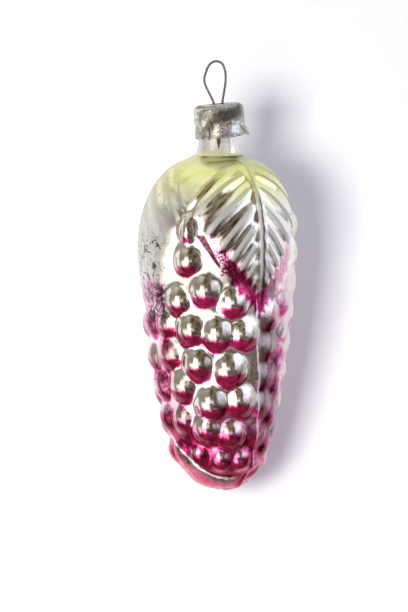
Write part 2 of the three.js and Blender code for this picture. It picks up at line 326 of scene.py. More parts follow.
def revolve(name, profile, columns, attributes=None):
    # Turns a profile of (radius, height) about +Z. A profile point on the axis becomes a pole, and
    # the profile runs anticlockwise seen with the radius to the right and the height up.
    vertices = []
    rings = []
    for radius, height in profile:
        if radius == 0:
            rings.append([len(vertices)] * columns)
            vertices.append((0, 0, height * mm))
        else:
            rings.append([len(vertices) + i for i in range(columns)])
            vertices += [aroundAxis(360 * i / columns, radius, height) * mm for i in range(columns)]
    faces = []
    for lower, upper in zip(rings, rings[1:]):
        for i in range(columns):
            j = (i + 1) % columns
            corners = [lower[i], lower[j], upper[j], upper[i]]
            faces.append(list(dict.fromkeys(corners)))
    mesh = bpy.data.meshes.new(name)
    mesh.from_pydata(vertices, [], faces)
    for key, values in (attributes or {}).items():
        data = []
        for ring, value in zip(rings, values):
            data += [value] * len(set(ring))
        mesh.attributes.new(key, "FLOAT", "POINT").data.foreach_set("value", data)
    return addObject(name, mesh)


def addObject(name, mesh):
    piece = bpy.data.objects.new(name, mesh)
    bpy.context.scene.collection.objects.link(piece)
    return piece


def nodeGroup(name, inputs):
    # A geometry tree with named inputs, given as (name, socket kind, value)
    tree = bpy.data.node_groups.new(name, "GeometryNodeTree")
    tree.interface.new_socket("Geometry", in_out="INPUT", socket_type="NodeSocketGeometry")
    tree.interface.new_socket("Geometry", in_out="OUTPUT", socket_type="NodeSocketGeometry")
    for label, kind, value in inputs:
        socket = tree.interface.new_socket(label, in_out="INPUT", socket_type="NodeSocket" + kind)
        if kind == "Float":
            socket.default_value = value
    entry = Field(tree).make("NodeGroupInput").socket.node
    return tree, {socket.name: Field(tree, socket) for socket in entry.outputs if socket.name}


def closeGroup(geometry, material):
    # Every tree ends in plain geometry with its material
    solid = geometry.make("GeometryNodeRealizeInstances", None, {0: geometry})
    values = {"Geometry": solid, "Material": material}
    finished = geometry.make("GeometryNodeSetMaterial", None, values)
    geometry.make("NodeGroupOutput", None, {0: finished})


def keepAsMesh(piece):
    # Replaces the piece's mesh by what its modifiers make of it
    graph = bpy.context.evaluated_depsgraph_get()
    made = bpy.data.meshes.new_from_object(piece.evaluated_get(graph), depsgraph=graph)
    piece.modifiers.clear()
    piece.data = made
    made.shade_smooth()


def runGroup(piece, tree, values):
    # Runs the tree on the piece with its inputs set, and keeps the result as a plain mesh
    modifier = piece.modifiers.new(tree.name, "NODES")
    modifier.node_group = tree
    sockets = {s.name: s.identifier for s in tree.interface.items_tree if s.in_out == "INPUT"}
    for label, value in values.items():
        modifier[sockets[label]] = value
    keepAsMesh(piece)


def stored(geometry, name, value, kind="FLOAT"):
    settings = {"data_type": kind, "domain": "POINT"}
    values = {"Geometry": geometry, "Name": name, "Value": value}
    return geometry.make("GeometryNodeStoreNamedAttribute", settings, values)


def named(start, name, kind="FLOAT"):
    return start.make("GeometryNodeInputNamedAttribute", {"data_type": kind}, {"Name": name})


def blurred(start, name, iterations):
    values = {"Value": named(start, name), "Iterations": iterations}
    return start.make("GeometryNodeBlurAttribute", {"data_type": "FLOAT"}, values)


# Glass body: the smooth outline, and the relief that the mould presses into it
body = {
    "wallThickness": 0.8,
    "radius": 19.4,
    "shoulderHeight": -24.127,  # where the neck leaves the body
    "shoulderRadius": 6.2,
    "length": 87.7,
    "outline": [
        (0.63, 0.964), (0.845, 0.905), (0.975, 0.81), (1.0, 0.69), (0.92, 0.485),
        (0.785, 0.285), (0.66, 0.143), (0.53, 0.07), (0.31, 0.016), (0.0, 0.0), (-0.31, 0.016),
    ],  # shares of the radius and of the length above the bottom
    "columns": 336,
    "rows": 252,
    "innerRows": 20,
    "innerLeast": 0.3,  # the inside's least radius before its pole
}

sprig = {
    "angle": 33.0, "count": 3, "length": 39.6, "sideLength": 17.0,
    "midribHalfWidth": 1.5, "midribRise": 0.9,
    "needlePitch": 4.2, "firstGap": 6.0, "needleStraight": 9.0, "needleDroop": 0.065,
    "needleSlope": 0.4, "needleCurve": 0.018, "needleRise": 1.05, "needleSharpness": 2.6,
    "leafRise": 0.2, "tipLength": 2.0, "shoulderFade": 9.0, "rounding": 0.3,
    "onRib": 2, "aroundRib": 24,  # how often the height is averaged, on a rib and around it
    # The mould's seam shows below the first sprig and opposite it, and drifts by degrees per mm
    "seamAngle": 32.0, "seamFrom": 49.0, "seamDrift": 0.31,
    # The sprig on the left came out of the mould faintly, and is longer at its sides
    "softSprig": -87.0, "softening": 0.6, "softInside": 34.0, "softOutside": 62.0, "softWider": 0.6,
    "softSwell": 1.4, "swellFade": 12.0, "swellStart": 8.0, "swellFull": 26.0,
}

knob = {
    "rise": 2.2, "roundness": 1.2, "halfWidth": 3.95, "halfLength": 4.4,
    "roomStep": 25.0, "roomShare": 1.15, "depth": 6.0,
    "leafClearance": 7.0, "bottomClearance": 3.0, "halfReach": 87.0,
    # Rows of the half with its middle at -57: distance below the end of the midribs, angle of one knob,
    # step to the next, how much the row rises towards the middle, the size of its knobs, and how far
    # every second one lies below the row and the others above it
    "frontMiddle": -57.0, "liftReach": 48.0,
    "frontRows": [
        (-8.2, -25, 25, 0.0, 0.95, 0.0), (1.4, -12, 23, 0.0, 1.0, 1.6), (11.4, -3, 23, 2.4, 1.0, 0.0),
        (21.0, -20, 30, 4.2, 1.06, 0.0), (29.6, -9, 31, 4.6, 1.06, 0.0), (38.0, -16, 28, 4.0, 1.0, 0.0),
        (45.4, 0, 28, 1.5, 1.0, 0.0),
    ],
    # The other half is worn lower, with even rows
    "backMiddle": 123.0, "backFirst": -8.3, "backPitch": 3.9, "backAngle": 45.0, "backStep": 39.0,
    "backSize": 0.92, "backRise": 1.25,
    "crownDown": 23.8, "crownTurn": 2.0, "crownWidth": 2.0, "crownLength": 4.2, "crownRise": 1.8,
    # Each knob is off its place by this much at most, and by degrees and a share of its size for each mm
    "shiftBy": 0.35, "shiftTurn": 3.0, "shiftSize": 0.2,
    "fillet": 1.1, "besideLeaf": 0.3,
    "seed": 7,
}

# What blowing and the mould leave: its seams, a fold above the bottom, and waves and ripples
mark = {
    "seamRise": 0.45, "seamHalf": 0.6, "seamWander": 1.2, "seamOffKnobs": (1.8, 0.6),
    "foldRise": 0.45, "foldUp": 7.0, "foldHalf": 1.9, "foldWander": 3.0,
    "waviness": 0.07, "calmBelowShoulder": 3.0,
    "waveHeight": 4.0,  # how many times higher the long waves are than the ripples
    "pressing": 8,  # how often the relief is averaged, as glass rounds the mould's edges
}


def bodyMeridian():
    # The smooth outline from the shoulder to the bottom: (radius, height, out, up, down) in each row
    foot = body["shoulderHeight"] - body["length"]
    points = [Vector((body["shoulderRadius"], body["shoulderHeight"], 0))]
    for out, up in body["outline"]:
        points.append(Vector((out * body["radius"], foot + up * body["length"], 0)))
    line = smoothLine(points, body["rows"], overshoot=1)
    return [(max(p.x, 0.0), p.y, -way.y, way.x, down) for p, way, down in line]


def meridianAt(meridian, down):
    share = min(max(down / meridian[-1][4], 0.0), 1.0) * (len(meridian) - 1)
    k = min(int(share), len(meridian) - 2)
    return [a + (b - a) * (share - k) for a, b in zip(meridian[k], meridian[k + 1])]


def turnFromSprig(angle):
    spacing = 360 / sprig["count"]
    return abs((angle - sprig["angle"] + spacing / 2) % spacing - spacing / 2)


def softness(angle):
    away = abs((angle - sprig["softSprig"] + 180) % 360 - 180)
    return 1 - softStep(sprig["softInside"], sprig["softOutside"], away)


def leafEnd(angle):
    shorter = (sprig["length"] - sprig["sideLength"]) * turnFromSprig(angle) / (180 / sprig["count"])
    return sprig["length"] - shorter * (1 - sprig["softWider"] * softness(angle))


def knobSites(meridian):
    # Rows of knobs on both halves of the mould, each a little off its place
    sites = []
    length = meridian[-1][4]
    chance = random.Random(knob["seed"])

    def add(angle, toEnd, size, rise):
        down = sprig["length"] + toEnd
        if down > length:
            return
        radius, height, out, up, _ = meridianAt(meridian, down)
        size *= min(1, radius * math.radians(knob["roomStep"]) / 2 * knob["roomShare"] / knob["halfWidth"])
        if length - down < knob["halfLength"] * size + knob["bottomClearance"]:
            return
        if down - leafEnd(angle) < knob["leafClearance"]:
            return
        sites.append({"place": aroundAxis(angle, radius, height), "normal": aroundAxis(angle, out, up),
                      "halfWidth": knob["halfWidth"] * size, "halfLength": knob["halfLength"] * size,
                      "rise": rise * size})

    for toEnd, first, step, lift, size, stagger in knob["frontRows"]:
        for i in range(-8, 9):
            angle = first + i * step
            if abs(angle - knob["frontMiddle"]) < knob["halfReach"]:
                middle = (angle - knob["frontMiddle"]) / knob["liftReach"]
                raised = lift * max(0.0, 1 - middle * middle)
                lower = stagger if i % 2 else -stagger
                off = [chance.uniform(-1, 1) * knob["shiftBy"] for _ in range(3)]
                add(angle + off[0] * knob["shiftTurn"], toEnd - raised + lower + off[1],
                    size * (1 + off[2] * knob["shiftSize"]), knob["rise"])
    for row in range(math.ceil((length - sprig["length"] - knob["backFirst"]) / knob["backPitch"])):
        shift = knob["backStep"] / 2 if row % 2 else 0
        for i in range(-4, 9):
            angle = knob["backAngle"] + shift + i * knob["backStep"]
            if abs(angle - knob["backMiddle"]) < knob["halfReach"]:
                off = [chance.uniform(-1, 1) * knob["shiftBy"] for _ in range(2)]
                add(angle + off[0] * knob["shiftTurn"],
                    knob["backFirst"] + row * knob["backPitch"] + off[1], knob["backSize"], knob["backRise"])
    for i in range(sprig["count"]):
        angle = sprig["angle"] + (i + 0.5) * 360 / sprig["count"] + knob["crownTurn"]
        radius, height, out, up, _ = meridianAt(meridian, knob["crownDown"])
        sites.append({"place": aroundAxis(angle, radius, height), "normal": aroundAxis(angle, out, up),
                      "halfWidth": knob["crownWidth"], "halfLength": knob["crownLength"],
                      "rise": knob["crownRise"]})
    return sites


def siteCloud(sites):
    mesh = bpy.data.meshes.new("knobSites")
    mesh.from_pydata([site["place"] * mm for site in sites], [], [])
    for key in ("halfWidth", "halfLength", "rise"):
        mesh.attributes.new(key, "FLOAT", "POINT").data.foreach_set("value", [s[key] for s in sites])
    normals = [c for site in sites for c in site["normal"]]
    mesh.attributes.new("outward", "FLOAT_VECTOR", "POINT").data.foreach_set("vector", normals)
    cloud = addObject("knobSites", mesh)
    cloud.hide_render = True
    return cloud


def smoothBody(meridian):
    # Thin closed shell: bottom pole, outside up to the shoulder, and down the inside again
    outside = [(radius, height) for radius, height, *_ in reversed(meridian)]
    downs = [m[4] for m in reversed(meridian)]
    outside[0] = (0.0, outside[0][1])
    wall = body["wallThickness"]
    inside = []
    for i in range(body["innerRows"]):
        radius, height, out, up, _ = meridianAt(meridian, meridian[-1][4] * i / body["innerRows"])
        inside.append((max(radius - wall * out, body["innerLeast"]), height - wall * up))
    inside.append((0.0, outside[0][1] + wall))
    profile = outside + inside
    isOutside = [1.0] * len(outside) + [0.0] * len(inside)
    return revolve("glassBody", profile, body["columns"],
                   {"down": downs + [0.0] * len(inside), "outer": isOutside})


def sprigRelief(start, given, down, angle, radius):
    # Fir sprigs around the shoulder: needles that droop away from a midrib. Returns their height, how
    # much the faint one swells, how faint they are, degrees from the midrib and where they end.
    spacing = 360 / given["Sprig count"]
    fromMidrib = (angle - given["Sprig angle"] + spacing / 2).math("FLOORED_MODULO", spacing)
    fromMidrib = (fromMidrib - spacing / 2).absolute()
    out = radius * fromMidrib * (math.pi / 180)
    level = down - out * sprig["needleSlope"] - out * out * sprig["needleCurve"]
    straight = sprig["needleStraight"]
    droop = out * sprig["needleDroop"]
    drooped = (level + droop * straight) / (droop + 1)
    across = level.atMost(straight) + drooped.atLeast(straight) - straight - sprig["firstGap"]
    across = across / given["Needle pitch"]
    wave = 0.5 - (across * (2 * math.pi)).math("COSINE") * 0.5
    shut = across.math("LESS_THAN", -0.5)
    ridge = (wave * (1 - shut) + shut * 0.5) ** sprig["needleSharpness"]
    fromSoft = ((angle - sprig["softSprig"] + 180).math("FLOORED_MODULO", 360.0) - 180).absolute()
    soft = fromSoft.ramp(sprig["softOutside"], sprig["softInside"])
    shorter = fromMidrib * (sprig["length"] - sprig["sideLength"]) / (spacing / 2)
    end = sprig["length"] - shorter * (1 - soft * sprig["softWider"]) + ridge * sprig["tipLength"]
    onLeaf = (end - down).ramp(0.0, sprig["tipLength"])
    half = sprig["midribHalfWidth"]
    beside = out.ramp(half * 0.6, half * 1.4)
    needles = (given["Leaf rise"] + given["Needle rise"] * ridge * beside) * onLeaf
    taper = (sprig["length"] + sprig["tipLength"] - down).ramp(0.0, sprig["length"] / 4)
    round = 1 - (out / half) ** 2
    midrib = (given["Leaf rise"] + given["Midrib rise"] * taper) * round.atLeast(0.0)
    midrib = midrib * (taper * 4).atMost(1.0)
    leaf = needles.math("SMOOTH_MAX", midrib, sprig["rounding"]) * down.ramp(0.0, sprig["shoulderFade"])
    swell = (end + sprig["swellFade"] - down).ramp(0.0, sprig["swellFade"]) * soft * sprig["softSwell"]
    swell = swell * down.ramp(sprig["swellStart"], sprig["swellFull"])
    return leaf * (1 - soft * sprig["softening"]), swell, soft, fromMidrib, end


def knobRelief(start, given, place):
    # Raises the knobs one by one over their sites, and stores how high they stand
    tree = start.tree
    sites = start.make("GeometryNodeObjectInfo", None, {"Object": given["Knob sites"]}, "Geometry")
    count = start.make("GeometryNodeAttributeDomainSize", {"component": "MESH"}, {0: sites}, "Point Count")
    base = stored(given["Geometry"], "knobHeight", 0.0)
    first = tree.nodes.new("GeometryNodeRepeatInput")  # the two ends are joined before they are linked
    last = tree.nodes.new("GeometryNodeRepeatOutput")
    first.pair_with_output(last)
    link(tree, count, first.inputs["Iterations"])
    link(tree, base, first.inputs["Geometry"])
    step = Field(tree, first.outputs["Iteration"])

    def siteValue(value, kind="FLOAT"):
        settings = {"data_type": kind, "domain": "POINT"}
        return start.make("GeometryNodeSampleIndex", settings, {0: sites, "Value": value, "Index": step})

    centre = siteValue(start.make("GeometryNodeInputPosition"), "FLOAT_VECTOR").scaled(1 / mm)
    outward = siteValue(named(start, "outward", "FLOAT_VECTOR"), "FLOAT_VECTOR")
    sideways = centre.cross((0.0, 0.0, -1.0)).unit()
    downward = sideways.cross(outward)
    offset = place.vector("SUBTRACT", centre)
    u = offset.dot(sideways) / siteValue(named(start, "halfWidth"))
    v = offset.dot(downward) / siteValue(named(start, "halfLength"))
    near = offset.dot(outward).math("GREATER_THAN", -knob["depth"])
    whole = given["Knob roundness"]
    rim = (whole * whole - 1).math("SQRT")
    dome = (whole * whole - u * u - v * v).atLeast(0.0).math("SQRT") - rim
    dome = dome / (whole - rim) * siteValue(named(start, "rise"))
    dome = dome * near - 2 * (1 - near)
    height = named(start, "knobHeight").math("SMOOTH_MAX", dome, given["Fillet"])
    risen = stored(Field(tree, first.outputs["Geometry"]), "knobHeight", height)
    link(tree, risen, last.inputs["Geometry"])
    return Field(tree, last.outputs["Geometry"])


def seamRelief(place, down, angle, radius):
    # The mould's seam, 1 at its middle, below the first sprig and opposite it
    wander = place.noise(0.12).spread(mark["seamWander"])
    seamAngle = (down - sprig["seamFrom"]) * sprig["seamDrift"] + sprig["seamAngle"]
    seamTurn = (angle - seamAngle + 90).math("FLOORED_MODULO", 180.0) - 90
    seamOut = (radius * seamTurn * (math.pi / 180) + wander).absolute()
    return seamOut.ramp(mark["seamHalf"], 0.0) * down.ramp(sprig["length"] - 1, sprig["length"] + 4)


def reliefGroup(material):
    inputs = [
        ("Knob sites", "Object", None), ("Knob roundness", "Float", knob["roundness"]),
        ("Fillet", "Float", knob["fillet"]), ("Sprig angle", "Float", sprig["angle"]),
        ("Sprig count", "Float", sprig["count"]), ("Needle pitch", "Float", sprig["needlePitch"]),
        ("Needle rise", "Float", sprig["needleRise"]), ("Leaf rise", "Float", sprig["leafRise"]),
        ("Midrib rise", "Float", sprig["midribRise"]), ("Seam rise", "Float", mark["seamRise"]),
        ("Waviness", "Float", mark["waviness"]), ("Fold rise", "Float", mark["foldRise"]),
    ]
    tree, given = nodeGroup("mouldRelief", inputs)
    start = Field(tree)
    place = start.make("GeometryNodeInputPosition").scaled(1 / mm)
    normal = start.make("GeometryNodeInputNormal")
    down = named(start, "down")
    outer = named(start, "outer")
    angle = angleOf(place)
    radius = (place.part("X") ** 2 + place.part("Y") ** 2).math("SQRT")
    leaf, swell, soft, fromMidrib, end = sprigRelief(start, given, down, angle, radius)
    geometry = knobRelief(start, given, place)
    knobs = named(start, "knobHeight")
    seam = seamRelief(place, down, angle, radius)
    relief = (leaf + swell).math("SMOOTH_MAX", knobs, knob["besideLeaf"])
    relief = relief + seam * given["Seam rise"] * knobs.ramp(*mark["seamOffKnobs"])
    waves = place.noise(0.11, 2.0, 0.4).spread(given["Waviness"] * mark["waveHeight"])
    ripples = place.noise(0.45, 1.0, 0.4).spread(given["Waviness"])
    foot = body["shoulderHeight"] - body["length"]
    aboveFold = place.part("Z") - (foot + mark["foldUp"]) + place.noise(0.2).spread(mark["foldWander"])
    bottomFold = aboveFold.absolute().ramp(mark["foldHalf"], 0.0) * given["Fold rise"]
    relief = relief + bottomFold + (waves + ripples) * down.ramp(0.0, mark["calmBelowShoulder"])
    shares = {"pastLeaf": down - end, "soft": soft, "seam": seam, "swell": swell / sprig["softSwell"],
              "fromMidrib": fromMidrib, "leafHeight": leaf, "relief": relief}
    for name, value in shares.items():
        geometry = stored(geometry, name, value)
    pressed = blurred(start, "relief", mark["pressing"])
    move = {"Geometry": geometry, "Offset": normal.scaled(pressed * outer * mm)}
    geometry = start.make("GeometryNodeSetPosition", None, move)
    # What the lacquer goes by: which way the pressed glass faces, and where it stands up
    bent = start.make("GeometryNodeInputNormal")
    geometry = stored(geometry, "facingDown", -bent.part("Z"))
    turn = angle * (math.pi / 180)
    sideward = bent.part("X") * turn.math("COSINE") + bent.part("Y") * turn.math("SINE")
    geometry = stored(geometry, "facingRight", sideward)
    rib = blurred(start, "leafHeight", sprig["onRib"])
    geometry = stored(geometry, "crest", rib - blurred(start, "leafHeight", sprig["aroundRib"]))
    closeGroup(geometry, material)
    return tree


# Finish of the glass. Heights and places across are mm, and a pair is where a fade starts and ends.
# Colours are linear.
finish = {
    "redUnder": (-39.0, -43.5), "redSides": (-50.0, -70.0), "redFoot": (-84.0, -104.0),
    "redStops": [
        (0.0, (1.0, 1.0, 1.0)), (0.12, (0.98, 0.70, 0.89)), (0.3, (0.90, 0.26, 0.62)),
        (0.55, (0.60, 0.008, 0.17)), (1.0, (0.33, 0.0, 0.05)),
    ],
    "yellow": (-42.0, -26.0),
    "yellowStops": [(0.0, (1.0, 1.0, 1.0)), (0.35, (0.97, 0.97, 0.82)), (1.0, (0.89, 0.93, 0.27))],
    "silver": (0.90, 0.885, 0.86), "cloudedSilver": (0.60, 0.56, 0.48),
    "lowSilver": (0.56, 0.47, 0.47), "lowSilverFrom": (-62.0, -80.0),
    "gone": (0.16, 0.14, 0.12),
    "haze": (0.50, 0.50, 0.40), "paleHaze": (0.81, 0.79, 0.72),
    "hazyShoulder": (-31.5, -25.0), "softHaze": (-66.0, -56.0), "beigeTo": (-72.0, -60.0),
    # The sides' pale colour is partly a painted reflection of the white surface beside them
    "rim": (0.97, 0.95, 0.94), "rimFrom": (-46.0, -58.0), "leftRimAcross": (-8.5, -12.0),
    # The seam's pale colour is partly a painted highlight along its raised ridge
    "seam": (0.95, 0.86, 0.88),
    "crack": (0.06, 0.04, 0.045), "crackHeights": (-66.0, -44.0, 2.0), "crackAcross": (-11.5, -13.5),
    "betweenNeedles": (0.93, 0.93, 0.94), "belowSprig": (0.97, 0.95, 0.93),
    # A painted dark reflection low on the left of the first sprig
    "paintedDarkReflection": (0.22, 0.14, 0.135), "paintedDarkReflectionHeights": (-58.0, -37.0, 3.0), "paintedDarkReflectionAcross": (11.5, 4.5),
    # Painted on the knobs: an olive reflection on their tops and shade on their right sides
    "paintedKnobTopReflection": (0.50, 0.46, 0.37), "knobFlankShade": (0.36, 0.31, 0.28), "knobTurnedShade": (0.42, 0.37, 0.33),
    # Dark mauve right of the seam, with painted shade in its hollows
    "mauveHollowShade": (0.21, 0.13, 0.15), "mauveKnob": (0.34, 0.27, 0.30),
    "mauveAcross": (10.2, 15.0, 0.8), "mauveFrom": (-63.0, -68.0), "mauveTo": (-104.0, -96.0),
    "heelPink": (0.80, 0.09, 0.22), "heelRed": (0.52, 0.015, 0.085), "heelFrom": (-94.0, -102.0),
    "roughness": 0.06, "dentDepth": 0.11,
}

# A crease at the bottom, painted as shade with a painted highlight along its upper edge, where the lacquer
# ends on bare pink glass
creaseShadeAndHighlight = {
    "height": -109.1, "middle": 3.0, "bend": 0.043, "fromLeft": (-14.0, -12.0), "toRight": (4.5, 1.5),
    "dark": (0.13, 0.115, 0.12), "paintedCreaseHighlight": (0.95, 0.86, 0.90), "lightAbove": 1.0,
}

# Painted shade of a dark fold, which slants down to the right of the first knobs and narrows
foldShade = {
    "top": -43.3, "length": 8.6, "left": -5.1, "across": 5.2, "halfWidth": 1.45, "narrower": 1.1,
    "dark": (0.05, 0.016, 0.022), "red": (0.20, 0.04, 0.09),
}

# Lines and a patch: places across and heights as (low, high, softness)
darkLine = {
    "darkPatch": (0.07, 0.02, 0.055), "darkPatchAcross": (-18.6, -13.4, 1.0), "darkPatchHeights": (-66.0, -56.5, 1.5),
    # Painted shade beside the midrib, on its right
    "besideMidrib": (0.09, 0.045, 0.04), "midribHeights": (-62.0, -33.0, 2.0), "midribRadius": 18.0,
    "atNeck": (0.13, 0.13, 0.05),
    # A painted reflection of the neck across the front of the shoulder
    "paintedNeckReflection": (0.36, 0.30, 0.06), "shoulderHeight": -25.4, "shoulderSlope": 0.08,
    "shoulderAcross": (-3.0, 5.0, 1.2),
}


class GlassPlaces:
    # Places, directions and grain that the layers of the finish share
    def __init__(self, start):
        self.place = objectPlace(start)
        self.x = self.place.part("X")
        self.y = self.place.part("Y")
        self.z = self.place.part("Z")
        self.angle = angleOf(self.place)
        self.around = self.angle.absolute()
        self.front = self.y.ramp(0.0, -2.0)
        self.facing = attribute(start, "facingDown")
        self.facingRight = attribute(start, "facingRight")
        self.knobHeight = attribute(start, "knobHeight")
        self.soft = attribute(start, "soft")
        self.fromMidrib = attribute(start, "fromMidrib")
        self.leaf = attribute(start, "leafHeight").ramp(0.02, 0.16)
        self.seam = attribute(start, "seam").ramp(0.45, 0.8)
        self.coarse = self.place.noise(0.16, 3.0, 0.6)
        self.fine = self.place.noise(1.1, 3.0, 0.65)
        self.mottle = self.coarse.ramp(0.3, 0.7) * 0.6 + self.fine.ramp(0.25, 0.75) * 0.5
        crest = attribute(start, "crest") + self.place.noise(1.1).spread(0.06)
        self.worn = crest.ramp(0.12, 0.23) * (0.7 + self.fine * 0.3)
        # The sides, between the front and the back, and the left one of them, which are painted paler,
        # partly a painted reflection of the white surface
        sides = (self.around + self.coarse.spread(50)).ramp(50.0, 72.0)
        sides = sides * (self.around + self.fine.spread(50)).ramp(140.0, 100.0)
        self.rim = sides * self.z.ramp(*finish["rimFrom"])
        self.leftRim = self.rim * self.x.ramp(*finish["leftRimAcross"])
        # Distance below the sprigs, and the strip of lacquer there on the first one
        self.past = attribute(start, "pastLeaf") + self.coarse.spread(5)
        self.grains = self.place.noise(1.7, 2.0, 0.7).ramp(0.42, 0.6)
        strip = (self.past - 3.2).absolute().ramp(4.0, 1.8) * (self.x + self.grains * 4).ramp(-0.5, 4.5)
        self.edge = strip * self.fromMidrib.ramp(44.0, 30.0) * (1 - self.soft)
        # Height above the crease, and the bare pink glass below it
        away = self.x - creaseShadeAndHighlight["middle"]
        self.aboveCrease = self.z - creaseShadeAndHighlight["height"] - away * away * creaseShadeAndHighlight["bend"]
        self.aboveCrease = self.aboveCrease + self.place.noise(0.35).spread(1.6)
        below = self.facing + self.around.atMost(75.0) * 0.0035 + self.coarse.spread(0.5)
        heel = below.ramp(0.72, 0.96) * (self.z + self.coarse.spread(9)).ramp(*finish["heelFrom"])
        self.heel = heel.atLeast(self.aboveCrease.ramp(0.6, -0.8) * self.front * 0.9)
        # How far the mirror is dulled: worn ribs, the faint sprig, the shoulder, the sides and the seam
        faint = self.soft * self.leaf.atLeast(attribute(start, "swell"))
        self.bright = self.z.ramp(*finish["hazyShoulder"])
        haze = self.worn.atLeast(faint * self.z.ramp(*finish["softHaze"], 0.5, 0.75))
        haze = haze.atLeast(self.bright * 0.75).atLeast(self.rim * 0.28).atLeast(self.seam * 0.8)
        self.haze = haze.atLeast(self.heel * 0.3)


def redLacquer(on):
    # Sprayed from below: on what faces down, at the sides, on the foot and below the first sprig
    ragged = on.facing + on.fine.spread(0.35) + on.coarse.spread(0.4)
    under = ragged.ramp(0.14, 0.52) * on.z.ramp(*finish["redUnder"]) * (1 - on.leaf * 0.75)
    under = under * (1 - on.rim * 0.5 - on.leftRim * 0.25)
    blots = on.place.noise(0.13, 2.0, 0.5).ramp(0.42, 0.58)
    sides = (on.around + on.coarse.spread(60)).ramp(38.0, 66.0) * on.z.ramp(*finish["redSides"])
    sides = sides * (1 - (on.around + on.coarse.spread(50)).ramp(100.0, 150.0) * 0.75)
    sides = sides * (on.mottle * 0.6 + 0.06) * (0.3 + blots)
    top = on.facing.ramp(0.12, -0.15) * on.knobHeight.ramp(0.4, 1.2)
    foot = on.z.ramp(*finish["redFoot"]) * (1 - top * 0.85) * (0.25 + on.mottle * 0.5)
    rightEnd = on.x.ramp(10.0, 13.5) * on.front
    below = on.edge * (0.5 + on.grains * 0.35) * (1 - rightEnd * 0.7)
    thick = (under + sides + foot + below) * (0.75 + on.mottle * 0.4)
    thick = thick * (1 - on.rim * 0.35 + on.leftRim * 0.15) * (1 - on.seam * 0.6)
    return thick.colours(*finish["redStops"])


def yellowLacquer(on):
    thick = on.z.ramp(*finish["yellow"]) * (0.6 + on.coarse * 0.6)
    return thick.colours(*finish["yellowStops"])


def silverLayers(on):
    # Silver clouded with age, hazy in places, with dull specks and cracks where it has gone
    low = on.z.ramp(*finish["lowSilverFrom"]) * on.mottle * 0.6
    speck = on.place.cells(0.33).ramp(0.16, 0.08) * on.place.noise(0.09).ramp(0.5, 0.62)
    beige = on.soft * on.z.ramp(*finish["beigeTo"])
    pale = (on.rim * (1 - beige * 0.7)).atLeast(on.bright)
    hazeColour = pale.blend(finish["haze"], finish["paleHaze"])
    # Paler on the sides: partly a painted reflection of the white surface
    rim = (on.rim * 0.65 + on.leftRim * 0.3) * (1 - beige * 0.7)
    squiggle = (on.place.noise(0.30, 2.0, 0.6, 0.8) - 0.5).absolute().ramp(0.036, 0.014)
    crack = squiggle * on.soft * on.z.between(*finish["crackHeights"]) * on.place.noise(0.7).ramp(0.40, 0.50)
    crack = crack * on.x.ramp(*finish["crackAcross"]) * on.y.ramp(2.0, -1.0)
    # The seam's pale layer is partly a painted highlight along its ridge
    return [(low, finish["lowSilver"]), (speck, finish["gone"]), (on.haze, hazeColour),
            (rim, finish["rim"]), (on.seam * 0.8, finish["seam"]), (crack, finish["crack"])]


def sprigLayers(on):
    # Bright silver between the needles, a painted dark reflection on the lower left of the first sprig, and
    # a pale strip below it
    clean = on.leaf * (1 - on.soft) * (1 - on.worn)
    paintedDarkReflection = clean * on.z.between(*finish["paintedDarkReflectionHeights"])
    paintedDarkReflection = paintedDarkReflection * (on.x + on.coarse * 5).ramp(*finish["paintedDarkReflectionAcross"]) * (0.4 + on.mottle * 0.6)
    nearSprig = on.fromMidrib.ramp(60.0, 44.0) * (1 - on.soft)
    strip = on.past.between(0.0, 9.0, 0.6) * nearSprig * (1 - on.knobHeight.ramp(0.3, 0.9)) * (1 - on.edge)
    return [(clean * 0.8, finish["betweenNeedles"]), (paintedDarkReflection, finish["paintedDarkReflection"]),
            (strip * 0.95, finish["belowSprig"])]


def knobLayers(on):
    # Knobs are painted olive above as a reflection and brown on the right as shade, and are dark mauve in
    # the column right of the seam, with painted shade in its hollows
    olive = on.knobHeight.ramp(0.5, 1.3) * on.x.ramp(4.0, -3.0) * on.coarse.ramp(0.3, 0.6)
    onSide = on.knobHeight.ramp(0.3, 0.9)
    paintedFlankShade = on.facingRight.ramp(0.12, 0.42) * onSide * on.facing.ramp(-0.25, 0.0)
    paintedTurnedShade = on.facingRight.ramp(0.1, 0.4) * onSide * on.x.ramp(5.0, 1.0)
    mauve = on.x.between(*finish["mauveAcross"]) * on.front
    mauve = mauve * on.z.ramp(*finish["mauveFrom"]) * on.z.ramp(*finish["mauveTo"])
    mauveColour = on.knobHeight.ramp(0.3, 1.2).blend(finish["mauveHollowShade"], finish["mauveKnob"])
    return [(olive * 0.6, finish["paintedKnobTopReflection"]), (paintedFlankShade * 0.7, finish["knobFlankShade"]),
            (paintedTurnedShade * 0.7, finish["knobTurnedShade"]), (mauve * 0.8, mauveColour)]


